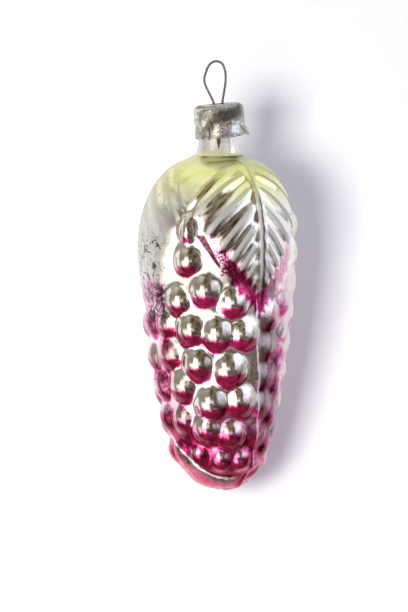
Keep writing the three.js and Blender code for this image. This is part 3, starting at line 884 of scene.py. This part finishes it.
def lineLayers(on):
    # Painted shade in the fold and beside the midrib, a painted reflection of the neck on the shoulder, a
    # dark patch low on the left, and dark lines at the neck
    along = (foldShade["top"] - on.z) / foldShade["length"]
    off = on.x - foldShade["left"] - along * foldShade["across"] + on.place.noise(0.5).spread(0.7)
    foldShadeMask = (off.absolute() / (foldShade["halfWidth"] - along * foldShade["narrower"])).ramp(1.05, 0.7)
    foldShadeMask = foldShadeMask * along.between(0.0, 1.0, 0.07) * on.front
    foldShadeColour = on.fine.ramp(0.4, 0.65).blend(foldShade["dark"], foldShade["red"])
    # A dark mottled patch low on the left, in front
    darkPatch = on.x.between(*darkLine["darkPatchAcross"]) * on.z.between(*darkLine["darkPatchHeights"])
    darkPatch = darkPatch * on.front * on.fine.ramp(0.44, 0.52)
    # Painted shade along the right side of the midrib
    ribShade = (on.angle - sprig["angle"]) * (math.pi / 180) * darkLine["midribRadius"] - 0.7
    ribShade = (ribShade + on.place.noise(0.25).spread(0.9)).absolute().ramp(0.6, 0.2)
    ribShade = ribShade * on.z.between(*darkLine["midribHeights"])
    atNeck = (on.z - body["shoulderHeight"] + on.coarse.spread(0.9)).absolute().ramp(0.6, 0.15)
    atNeck = atNeck * on.place.noise(0.28).ramp(0.36, 0.56)
    # A yellowish dark line across the front of the shoulder, a painted reflection of the neck
    neckReflectionLine = on.z - darkLine["shoulderHeight"] - on.x * darkLine["shoulderSlope"] + on.coarse.spread(0.8)
    neckReflectionLine = neckReflectionLine.absolute().ramp(0.4, 0.1) * on.x.between(*darkLine["shoulderAcross"]) * on.front
    return [(foldShadeMask, foldShadeColour), (darkPatch * 0.9, darkLine["darkPatch"]),
            (ribShade * 0.9, darkLine["besideMidrib"]), (atNeck * 0.85, darkLine["atNeck"]),
            (neckReflectionLine * 0.75, darkLine["paintedNeckReflection"])]


def heelLayers(on):
    # Pink glass at the bottom, and the painted shade and highlight of the crease above it
    pink = on.fine.ramp(0.35, 0.65).blend(finish["heelPink"], finish["heelRed"])
    atLeft = on.x.ramp(*creaseShadeAndHighlight["toRight"]) * on.x.ramp(*creaseShadeAndHighlight["fromLeft"]) * on.front
    paintedCreaseHighlight = (on.aboveCrease - creaseShadeAndHighlight["lightAbove"]).absolute().ramp(0.5, 0.2) * atLeft
    dark = on.aboveCrease.absolute().ramp(0.62, 0.3) * atLeft
    return [(on.heel * 0.8, pink), (paintedCreaseHighlight * on.fine.ramp(0.3, 0.5), creaseShadeAndHighlight["paintedCreaseHighlight"]), (dark, creaseShadeAndHighlight["dark"])]


def lacqueredGlass():
    material, start = newMaterial("lacqueredGlass")
    on = GlassPlaces(start)
    silver = on.fine.ramp(0.3, 0.72).blend(finish["cloudedSilver"], finish["silver"])
    aged = painted(silver, silverLayers(on) + sprigLayers(on) + knobLayers(on) + lineLayers(on))
    colour = painted(aged.tinted(redLacquer(on).tinted(yellowLacquer(on))), heelLayers(on))
    upright = on.place.vector("MULTIPLY", (1.0, 1.0, 0.4)).noise(0.9, 2.0, 0.5)
    dents = on.place.noise(0.42, 2.0, 0.5).spread(1.6) + on.fine.spread(0.5) + upright.spread(0.9)
    dents = dents * (0.35 + on.knobHeight.ramp(0.3, 1.0) * 0.65)
    finishMaterial(start, principled(
        start, Base_Color=colour, Metallic=1 - on.haze * 0.85,
        Roughness=finish["roughness"] + on.haze * 0.35 + on.fine * 0.06,
        Normal=bump(start, dents, finish["dentDepth"] * mm, 0.6),
        Coat_Weight=0.3, Coat_Roughness=0.03, Coat_IOR=1.5))
    return material


def makeGlassBody(material):
    meridian = bodyMeridian()
    piece = smoothBody(meridian)
    cloud = siteCloud(knobSites(meridian))
    runGroup(piece, reliefGroup(material), {"Knob sites": cloud})
    bpy.data.objects.remove(cloud)
    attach(piece, "glass")
    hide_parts("glass_body")


# Neck: silvered glass with a clear window on its right, where the silver is gone
neck = {
    "rimRadius": 4.8, "radius": 5.2, "footRadius": 6.2, "footHeight": 2.8, "wall": 0.8,
    "length": 12.3, "rimRound": 0.35, "sunk": 0.5,
    "columns": 128,
    "silverTo": (3.1, 2.6), "hazyFrom": (3.9, 4.3),
    "dullSilver": (0.46, 0.45, 0.42), "silver": (0.76, 0.75, 0.71), "haze": (0.90, 0.87, 0.68),
    "lacquer": (0.74, 0.72, 0.34), "lacquerHeight": 2.4, "silverHeight": 0.8,
    "rust": (0.09, 0.022, 0.008), "dripHeights": (-22.4, -20.2), "dripHalfWidths": (0.06, 0.5),
    "dripEnd": (-22.5, -22.1),
    "glass": (0.97, 0.95, 0.82),
}


def neckProfile():
    shoulder = body["shoulderHeight"]
    top = shoulder + neck["length"]
    footTop = shoulder + neck["footHeight"]
    guide = [Vector((neck["footRadius"] + 0.5, shoulder - neck["sunk"], 0)),
             Vector((neck["footRadius"], shoulder, 0)),
             Vector((neck["radius"] + (neck["footRadius"] - neck["radius"]) * 0.35,
                     shoulder + neck["footHeight"] * 0.4, 0)),
             Vector((neck["radius"], footTop, 0)),
             Vector((neck["rimRadius"], top - neck["rimRound"], 0))]
    outer = [(p.x, p.y) for p, _, _ in smoothLine(guide, 30)]
    middle = neck["rimRadius"] - neck["wall"] / 2
    rim = []
    for i in range(1, 8):
        turn = math.pi * i / 8
        rim.append((middle + neck["wall"] / 2 * math.cos(turn),
                    top - neck["rimRound"] + neck["rimRound"] * math.sin(turn)))
    inner = [(radius - neck["wall"], height) for radius, height in reversed(outer)]
    return outer + rim + inner + [outer[0]]


def neckGlass():
    material, start = newMaterial("neckGlass")
    place = objectPlace(start)
    x = place.part("X")
    z = place.part("Z")
    aboveShoulder = z - body["shoulderHeight"]
    fine = place.noise(1.4, 3.0, 0.6)
    ragged = place.noise(0.5, 3.0, 0.6).spread(1.6)
    low = (aboveShoulder - neck["silverHeight"] + ragged).ramp(0.6, -0.6)
    hazyWall = x.ramp(*neck["hazyFrom"])
    silvered = (x + ragged * 0.5).ramp(*neck["silverTo"]).atLeast(low).atLeast(hazyWall * 0.6)
    shade = fine.ramp(0.3, 0.7) * 0.6 + x.ramp(-5.0, 1.0) * 0.4
    # A drip of rust tapers down from the cap in front
    halfWidth = z.ramp(*neck["dripHeights"], *neck["dripHalfWidths"])
    drip = ((x + ragged * 0.2 - 0.1).absolute() / halfWidth).ramp(1.15, 0.7)
    drip = drip * z.ramp(*neck["dripEnd"]) * place.part("Y").ramp(0.0, -2.0)
    colour = painted(shade.blend(neck["dullSilver"], neck["silver"]), [
        (hazyWall, neck["haze"]), (aboveShoulder.ramp(neck["lacquerHeight"], 0.0), neck["lacquer"]),
        (drip, neck["rust"])])
    silver = principled(start, Base_Color=colour, Metallic=0.35, Roughness=0.38 + fine * 0.15,
                        Normal=bump(start, fine, 0.04 * mm),
                        Coat_Weight=1.0, Coat_Roughness=0.03, Coat_IOR=1.5)
    clear = principled(start, Base_Color=neck["glass"], Roughness=0.02, IOR=1.5, Transmission_Weight=1.0)
    finishMaterial(start, start.make("ShaderNodeMixShader", None, {0: silvered, 1: clear, 2: silver}))
    return material


def makeNeck(material):
    piece = revolve("glassNeck", neckProfile()[::-1], neck["columns"])
    piece.data.materials.append(material)
    piece.data.shade_smooth()
    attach(piece, "glass")
    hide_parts("glass_body")


# Cap: a tinplate stamping, askew on the neck, with four petals below a step
cap = {
    "radius": 6.57, "height": 8.6, "crownHeight": 4.9, "edgeRadius": 1.8, "thickness": 0.35,
    "stepDepth": 0.2, "stepHeight": 0.6, "tilt": 4.5, "holeRadius": 1.8,
    "slitAngles": [-25, 65, 155, 245], "slitTop": 0.4, "slitBottom": 0.9,
    "flares": [2, 20, 5, 3],
    "dentDepth": 0.85, "dentHalfAngle": 21, "dentHeight": 3.8, "dentSharpness": 1.2, "dentFrom": 0.6,
    "waviness": 0.09, "wavesPerMm": 0.45,
    "edgeWaviness": 0.25, "edgeWavesPerDegree": 0.08, "edgeWaveRow": 3.0,
    "roundedEdge": 0.08, "sharpEdge": 50, "mergeWithin": 0.004,
    "columnsPerPetal": 56,
    "top": -10.8,
}


def capOutline():
    # (radius, height) from the hole over the crown to the edge of the skirt, in the cap's own frame
    radius = cap["radius"]
    corner = radius - cap["edgeRadius"]
    line = [(cap["holeRadius"], 0.0)]
    for i in range(1, 9):
        line.append((cap["holeRadius"] + (corner - cap["holeRadius"]) * i / 9, 0.0))
    for i in range(9):
        turn = math.radians(90 * i / 8)
        line.append((corner + cap["edgeRadius"] * math.sin(turn),
                     cap["edgeRadius"] * math.cos(turn) - cap["edgeRadius"]))
    for i in range(1, 9):
        line.append((radius, -cap["edgeRadius"] - (cap["crownHeight"] - cap["edgeRadius"]) * i / 8))
    skirtTop = cap["crownHeight"] + cap["stepHeight"]
    for i in range(1, 5):
        share = i / 4
        line.append((radius - cap["stepDepth"] * softStep(0, 1, share),
                     -cap["crownHeight"] - cap["stepHeight"] * share))
    for i in range(1, 13):
        share = i / 12
        line.append((radius - cap["stepDepth"] * (1 - share),
                     -skirtTop - (cap["height"] - skirtTop) * share))
    return line


def capShell():
    # Outside of the cap: four patches, one for each petal, that part at the slits. The crown is dented
    # where it meets each slit.
    outline = capOutline()
    slitTopHeight = -cap["crownHeight"] - cap["stepHeight"] / 2
    vertices = []
    faces = []
    columns = cap["columnsPerPetal"]
    for petal, first in enumerate(cap["slitAngles"]):
        start = len(vertices)
        for radius, height in outline:
            below = max(0.0, slitTopHeight - height)
            share = below / (cap["height"] + slitTopHeight)
            gap = 0.0
            if below > 0:
                gap = cap["slitTop"] + (cap["slitBottom"] - cap["slitTop"]) * share
            gapTurn = math.degrees(gap / radius)
            flare = math.tan(math.radians(cap["flares"][petal]))
            outward = max(0.0, -(cap["crownHeight"] + cap["stepHeight"]) - height) * flare
            for i in range(columns + 1):
                angle = first + gapTurn / 2 + (90 - gapTurn) * i / columns
                off = min(abs((angle - slit + 180) % 360 - 180) for slit in cap["slitAngles"])
                dent = cap["dentDepth"] * max(0.0, 1 - off / cap["dentHalfAngle"]) ** cap["dentSharpness"]
                dent *= max(0.0, 1 - abs(height + cap["crownHeight"]) / cap["dentHeight"])
                if radius <= cap["radius"] - cap["dentFrom"]:
                    dent = 0
                spread = radius + outward - dent
                wave = noise.noise(aroundAxis(angle, spread, height) * cap["wavesPerMm"]) * cap["waviness"]
                edge = noise.noise(Vector((angle * cap["edgeWavesPerDegree"], cap["edgeWaveRow"], petal)))
                edge *= softStep(0.8, 1.0, share) * cap["edgeWaviness"]
                vertices.append(aroundAxis(angle, spread + wave, height + edge))
        for row in range(len(outline) - 1):
            for i in range(columns):
                a = start + row * (columns + 1) + i
                faces.append([a, a + columns + 1, a + columns + 2, a + 1])
    return vertices, faces


# Finish of the tin: places across and heights as (low, high, softness), and linear colours
tin = {
    "bright": (0.80, 0.785, 0.73), "dull": (0.13, 0.125, 0.11), "marks": (0.085, 0.08, 0.07),
    "dark": (0.10, 0.09, 0.08), "rust": (0.30, 0.14, 0.06), "rustFrom": (-18.3, -19.6),
    "dullAcross": (-1.8, 6.0, 0.8), "dullHeights": (-15.8, -12.4, 0.7), "dullSlope": 0.3,
    # Two painted highlights on the skirt, a warm one and a cool one
    "warmHighlight": (0.97, 0.95, 0.86), "warmHighlightAcross": (-2.6, -0.1, 0.5), "warmHighlightHeights": (-19.0, -16.3, 0.5),
    "coolHighlight": (0.86, 0.90, 0.98), "coolHighlightAcross": (3.4, 6.2, 0.6), "coolHighlightHeights": (-18.2, -15.0, 0.6),
    "insideShadeSquare": (38.0, 34.0), "holeShadeSquare": (6.6, 4.6),  # squared distances from the axis
    "bumpDepth": 0.13,
}


def capTin():
    material, start = newMaterial("capTin")
    place = objectPlace(start)
    x = place.part("X")
    y = place.part("Y")
    z = place.part("Z")
    inFront = y.ramp(0.0, -2.0)
    coarse = place.noise(0.35, 3.0, 0.6)
    grain = place.noise(3.0, 3.0, 0.7)
    brushed = place.vector("MULTIPLY", (0.45, 0.45, 2.6)).noise(2.4, 3.0, 0.7)
    pits = place.cells(2.3).ramp(0.36, 0.18) * place.noise(0.8).ramp(0.36, 0.48)
    # The tin is dullest in front, above its skirt
    level = z - x * tin["dullSlope"] + place.noise(0.9).spread(1.6)
    front = x.between(*tin["dullAcross"]) * level.between(*tin["dullHeights"]) * inFront
    dull = (coarse.ramp(0.44, 0.62) * 0.6).atLeast(front)
    # Two painted highlights on the skirt, warm and cool, have fewer marks, and so has the left, painted
    # lighter as its lit side
    coolHighlight = x.between(*tin["coolHighlightAcross"]) * z.between(*tin["coolHighlightHeights"])
    warmHighlight = x.between(*tin["warmHighlightAcross"]) * z.between(*tin["warmHighlightHeights"])
    paintedHighlights = warmHighlight.atLeast(coolHighlight) * inFront
    marks = (grain.ramp(0.44, 0.56) * 0.75).atLeast(brushed.ramp(0.5, 0.6) * (0.3 + front * 0.5))
    marks = marks * (1 - paintedHighlights * 0.75) * (1 - x.ramp(-1.5, -3.0) * 0.45)
    # Painted shade inside the cap and round its hole, with rust along the skirt's edge
    fromAxis = x * x + y * y
    inside = (z - cap["top"] + 0.3).ramp(0.0, -0.3) * fromAxis.ramp(*tin["insideShadeSquare"])
    inside = inside.atLeast(fromAxis.ramp(*tin["holeShadeSquare"]))
    edge = z.ramp(*tin["rustFrom"]) * place.noise(0.9, 3.0, 0.6).ramp(0.45, 0.65)
    colour = painted(dull.blend(tin["bright"], tin["dull"]), [
        (paintedHighlights, coolHighlight.blend(tin["warmHighlight"], tin["coolHighlight"])), (marks, tin["marks"]),
        ((pits * 0.7).atLeast(inside * 0.9), tin["dark"]), (edge * 0.8, tin["rust"])])
    height = grain * 0.7 - pits * 0.6 + coarse * 1.6 + brushed * 0.5
    finishMaterial(start, principled(
        start, Base_Color=colour, Metallic=1 - (pits * 0.5 + edge * 0.6).atMost(0.9),
        Roughness=0.22 + dull * 0.14 + marks * 0.2 + pits * 0.15,
        Normal=bump(start, height, tin["bumpDepth"] * mm)))
    return material


def makeCap(material):
    vertices, faces = capShell()
    turn = Matrix.Rotation(-math.radians(cap["tilt"]), 4, "Y")
    place = Matrix.Translation((0, 0, cap["top"])) @ turn
    mesh = bpy.data.meshes.new("cap")
    mesh.from_pydata([(place @ v) * mm for v in vertices], [], faces)
    work = bmesh.new()
    work.from_mesh(mesh)
    bmesh.ops.remove_doubles(work, verts=work.verts, dist=cap["mergeWithin"] * mm)
    bmesh.ops.recalc_face_normals(work, faces=work.faces)
    if sum(face.normal.z for face in work.faces) < 0:
        bmesh.ops.reverse_faces(work, faces=work.faces)
    work.to_mesh(mesh)
    work.free()
    piece = addObject("capShell", mesh)
    mesh.materials.append(material)
    wall = piece.modifiers.new("wall", "SOLIDIFY")
    wall.thickness = cap["thickness"] * mm
    wall.offset = -1.0
    wall.use_even_offset = True
    edge = piece.modifiers.new("edge", "BEVEL")
    edge.width = cap["roundedEdge"] * mm
    edge.segments = 2
    edge.limit_method = "ANGLE"
    edge.angle_limit = math.radians(cap["sharpEdge"])
    keepAsMesh(piece)
    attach(piece, "cap")
    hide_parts("cap")


# Hanger: one spring wire, over the loop and down into the neck on both sides
hanger = {
    "diameter": 0.6, "loopHeight": 10.8, "loopWidth": 4.9, "loopWidest": 4.9,
    "loopLean": -0.75, "topLean": -0.35,  # to the left where the loop is widest, and at its top
    "roundTop": 0.82,  # below 1 the top is fuller than an ellipse
    "strandSpacing": 2.3, "legLength": 18.0, "legBend": 6.0, "legTuck": 0.4, "legReach": 3.4,
    "bendShare": 0.97, "drawMarks": 0.01, "steps": 420, "sides": 20,
    "darkSteel": (0.13, 0.125, 0.11), "steel": (0.24, 0.225, 0.20), "stain": (0.10, 0.065, 0.04),
}


def wirePath():
    radius = hanger["diameter"] / 2
    half = hanger["loopWidth"] / 2 + radius
    top = -hanger["loopHeight"]
    reach = hanger["legReach"]

    def point(x, z):
        return Vector((x, 0, z))

    def strand(side):
        return [
            point(side * (reach - hanger["legTuck"]), top - hanger["legLength"]),
            point(side * reach, top - (hanger["legBend"] + hanger["legLength"]) / 2),
            point(side * reach * hanger["bendShare"], top - hanger["legBend"]),
            point(side * hanger["strandSpacing"] / 2, top - cap["thickness"]),
            point(side * hanger["strandSpacing"] / 2, top + cap["thickness"]),
        ]

    loop = []
    for angle in (180, 150, 120, 90, 60, 30, 0):
        up = math.sin(math.radians(angle))
        sideways = math.copysign(abs(math.cos(math.radians(angle))) ** hanger["roundTop"], 90 - angle)
        lean = hanger["loopLean"] * (1 - up) + hanger["topLean"] * up
        loop.append(point(lean + half * sideways,
                          -hanger["loopWidest"] + (hanger["loopWidest"] + radius) * up))
    return [p for p, _, _ in smoothLine([*strand(-1), *loop, *strand(1)[::-1]], hanger["steps"])]


def wireGroup(material):
    inputs = [("Radius", "Float", hanger["diameter"] / 2), ("Draw marks", "Float", hanger["drawMarks"])]
    tree, given = nodeGroup("wireAlongPath", inputs)
    start = Field(tree)
    curve = start.make("GeometryNodeMeshToCurve", None, {0: given["Geometry"]})
    ring = start.make("GeometryNodeCurvePrimitiveCircle", None,
                      {"Resolution": hanger["sides"], "Radius": given["Radius"] * mm})
    tube = start.make("GeometryNodeCurveToMesh", None,
                      {"Curve": curve, "Profile Curve": ring, "Fill Caps": True})
    place = start.make("GeometryNodeInputPosition").scaled(1 / mm)
    marks = place.noise(1.3, 3.0, 0.6).spread(given["Draw marks"]) * mm
    normal = start.make("GeometryNodeInputNormal")
    moved = start.make("GeometryNodeSetPosition", None, {"Geometry": tube, "Offset": normal.scaled(marks)})
    closeGroup(moved, material)
    return tree


def wireSteel():
    material, start = newMaterial("wireSteel")
    place = objectPlace(start)
    stain = place.noise(0.7, 4.0, 0.65)
    grain = place.noise(6.0, 2.0, 0.6)
    steel = grain.ramp(0.3, 0.7).blend(hanger["darkSteel"], hanger["steel"])
    colour = (stain.ramp(0.52, 0.66) * 0.6).blend(steel, hanger["stain"])
    finishMaterial(start, principled(
        start, Base_Color=colour, Metallic=0.9, Roughness=0.36 + stain * 0.2,
        Normal=bump(start, grain + stain, 0.02 * mm)))
    return material


def makeHanger(material):
    points = wirePath()
    mesh = bpy.data.meshes.new("hangerWire")
    mesh.from_pydata([p * mm for p in points], [(i, i + 1) for i in range(len(points) - 1)], [])
    piece = addObject("hangerWire", mesh)
    runGroup(piece, wireGroup(material), {})
    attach(piece, "hanger")
    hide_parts("hanger_wire")


# White surface behind the ornament, close to its lower end and further from its cap
backdrop = {
    "behind": 33.5, "middle": -51.0, "slope": 13.0, "half": 420.0,
    "paper": [(0.0, (0.93, 0.93, 0.94)), (1.0, (0.97, 0.97, 0.97))],
    "glow": (0.165, 0.17, 0.13),  # added for the camera, so that the lit paper is white
}


def backdropPaper():
    material, start = newMaterial("backdropPaper")
    path = start.make("ShaderNodeLightPath")
    place = objectPlace(start)
    paper = place.noise(0.9, 2.0).colours(*backdrop["paper"])
    lit = start.make("ShaderNodeBsdfDiffuse", None, {"Color": paper})
    glow = start.make("ShaderNodeEmission", None, {"Color": backdrop["glow"], "Strength": 1.0})
    both = start.make("ShaderNodeAddShader", None, {0: lit, 1: glow})
    unseen = start.make("ShaderNodeBsdfTransparent")
    back = start.make("ShaderNodeNewGeometry", None, None, "Backfacing")
    away = back.atLeast(path.of("Is Glossy Ray"))
    seen = path.of("Is Camera Ray").atLeast(path.of("Is Transmission Ray"))
    shown = start.make("ShaderNodeMixShader", None, {0: seen, 1: lit, 2: both})
    finishMaterial(start, start.make("ShaderNodeMixShader", None, {0: away, 1: shown, 2: unseen}))
    return material


def makeBackdrop():
    half = backdrop["half"] * mm
    centre = Vector((0, backdrop["behind"], backdrop["middle"])) * mm
    slope = math.radians(backdrop["slope"])
    upward = Vector((0, math.sin(slope), math.cos(slope)))
    corners = [(-1, -1), (1, -1), (1, 1), (-1, 1)]
    mesh = bpy.data.meshes.new("backdrop")
    mesh.from_pydata([centre + rightOfView() * a * half + upward * b * half for a, b in corners],
                     [], [[0, 1, 2, 3]])
    piece = addObject("backdrop", mesh)
    mesh.materials.append(backdropPaper())


# Light: one soft box, which throws the shadow
softBox = {
    "azimuth": -18, "elevation": -2.5, "distance": 700, "width": 210, "height": 190, "power": 4.0,
    "colour": (1.0, 0.985, 0.95), "aimedBelow": 65.0,
}


def direction(azimuth, elevation):
    # Seen from the ornament: azimuth from the camera towards the right, elevation upwards
    turn = math.radians(azimuth)
    rise = math.radians(elevation)
    flat = towardsView() * math.cos(turn) + rightOfView() * math.sin(turn)
    return flat * math.cos(rise) + upOfView() * math.sin(rise)


def makeLights():
    data = bpy.data.lights.new("softBox", "AREA")
    data.shape = "RECTANGLE"
    data.size = softBox["width"] * mm
    data.size_y = softBox["height"] * mm
    data.energy = softBox["power"]
    data.color = softBox["colour"]
    lamp = bpy.data.objects.new("softBox", data)
    bpy.context.scene.collection.objects.link(lamp)
    middle = -upOfView() * softBox["aimedBelow"] * mm
    way = direction(softBox["azimuth"], softBox["elevation"])
    lamp.location = middle + way * softBox["distance"] * mm
    lamp.rotation_mode = "QUATERNION"
    lamp.rotation_quaternion = way.to_track_quat("Z", "Y")
    lamp.visible_glossy = False  # the mirror shows the one in the world instead


# The room around the camera, which only mirror rays see. Azimuth runs from the camera to the right and
# elevation upwards, as (low, high, softness). Later ones lie over earlier ones.
room = {
    "stops": [(0.36, (0.055, 0.045, 0.04)), (0.5, (0.20, 0.165, 0.13)), (0.64, (0.44, 0.40, 0.34))],
    "olive": {"azimuth": (-26.0, 14.0, 8.0), "elevation": (18.0, 58.0, 10.0), "colour": (0.40, 0.32, 0.17)},
    "leftWall": {"colour": (0.50, 0.48, 0.42)},
    "upperLeft": {"azimuth": (-92.0, -34.0, 6.0), "elevation": (32.0, 70.0, 8.0),
                  "colour": (0.95, 0.94, 0.84)},
    "above": {"colour": (1.05, 1.05, 1.0)},
    "table": {"azimuth": (-34.0, 8.0, 6.0), "elevation": (-19.0, -3.0, 6.0), "colour": (1.45, 1.38, 1.30)},
    "besideBox": {"azimuth": (-76.0, -40.0, 7.0), "elevation": (-48.0, -9.0, 7.0),
                  "colour": (1.9, 1.8, 1.65)},
    "box": {"azimuth": (-45.0, -17.0, 7.0), "elevation": (-62.0, 13.0, 11.0), "colour": (3.2, 3.0, 2.7)},
    "window": {"azimuth": (34.0, 102.0, 9.0), "elevation": (-16.0, 42.0, 11.0),
               "colour": (1.5, 1.56, 1.75)},
    "low": {"colour": (0.9, 0.8, 0.8)},
}

# Past the room's edge lies the white surface, with a soft grey behind the ornament. fill lights the
# ornament and the paper from all around.
surround = {
    "whiteRight": (0.92, 0.91, 0.90), "whiteLeft": (1.3, 1.28, 1.27), "far": (0.34, 0.33, 0.34),
    "edge": (0.07, 0.065, 0.06), "fill": (0.265, 0.26, 0.40), "background": (1.0, 1.0, 1.0),
}


def makeWorld():
    world = bpy.data.worlds.new("room")
    bpy.context.scene.world = world
    world.use_nodes = True
    world.node_tree.nodes.clear()
    start = Field(world.node_tree)
    way = start.make("ShaderNodeTexCoord", None, None, "Generated")
    ahead = way.dot(tuple(towardsView()))
    right = way.dot(tuple(rightOfView()))
    up = way.dot(tuple(upOfView()))
    degrees = 180 / math.pi
    azimuth = right.math("ARCTAN2", ahead) * degrees
    elevation = up.atMost(1.0).atLeast(-1.0).math("ARCSINE") * degrees
    off = ahead.atMost(1.0).atLeast(-1.0).math("ARCCOSINE") * degrees
    patches = way.noise(3.4, 4.0, 0.65)
    panes = way.noise(4.5, 2.0, 0.5).ramp(0.36, 0.41)

    def spot(name):
        return azimuth.between(*room[name]["azimuth"]) * elevation.between(*room[name]["elevation"])

    masks = {
        "olive": spot("olive") * patches.ramp(0.36, 0.6) * 0.9,
        "leftWall": azimuth.ramp(-14.0, -56.0) * elevation.ramp(-60.0, -20.0) * (0.55 + patches * 0.4),
        "upperLeft": spot("upperLeft") * 0.65,
        "above": elevation.ramp(42.0, 62.0) * 0.9,
        "table": spot("table") * 0.9,
        "besideBox": spot("besideBox"),
        "box": spot("box"),
        "window": spot("window") * (panes * 0.8 + 0.2) * (elevation.ramp(-6.0, 14.0) * 0.45 + 0.55),
        "low": elevation.ramp(-34.0, -56.0) * patches.ramp(0.1, 0.6),
    }
    layers = [(mask, room[name]["colour"]) for name, mask in masks.items()]
    edge = off.between(86.0, 100.0, 4.0) * azimuth.ramp(-80.0, -50.0) * elevation.ramp(14.0, 2.0)
    white = azimuth.ramp(-10.0, -60.0).blend(surround["whiteRight"], surround["whiteLeft"])
    far = off.ramp(150.0, 162.0) * patches.ramp(0.35, 0.6)
    layers += [(off.ramp(97.0, 105.0), white), (far * 0.7, surround["far"]), (edge * 0.45, surround["edge"])]
    seen = painted(patches.colours(*room["stops"]), layers)
    path = start.make("ShaderNodeLightPath")
    straight = path.of("Is Camera Ray").atLeast(path.of("Is Transmission Ray"))
    colour = path.of("Is Glossy Ray").blend(surround["fill"], seen)
    colour = straight.blend(colour, surround["background"])
    background = start.make("ShaderNodeBackground", None, {"Color": colour, "Strength": 1.0})
    start.make("ShaderNodeOutputWorld", None, {"Surface": background})


def setView():
    bpy.context.scene.view_settings.view_transform = "Standard"


makeCamera()
setView()
makeBackdrop()
makeLights()
makeWorld()
print("stage: camera, backdrop and light")
makeGlassBody(lacqueredGlass())
print("stage: glass body")
makeNeck(neckGlass())
print("stage: neck")
makeCap(capTin())
print("stage: cap")
makeHanger(wireSteel())
print("stage: hanger")
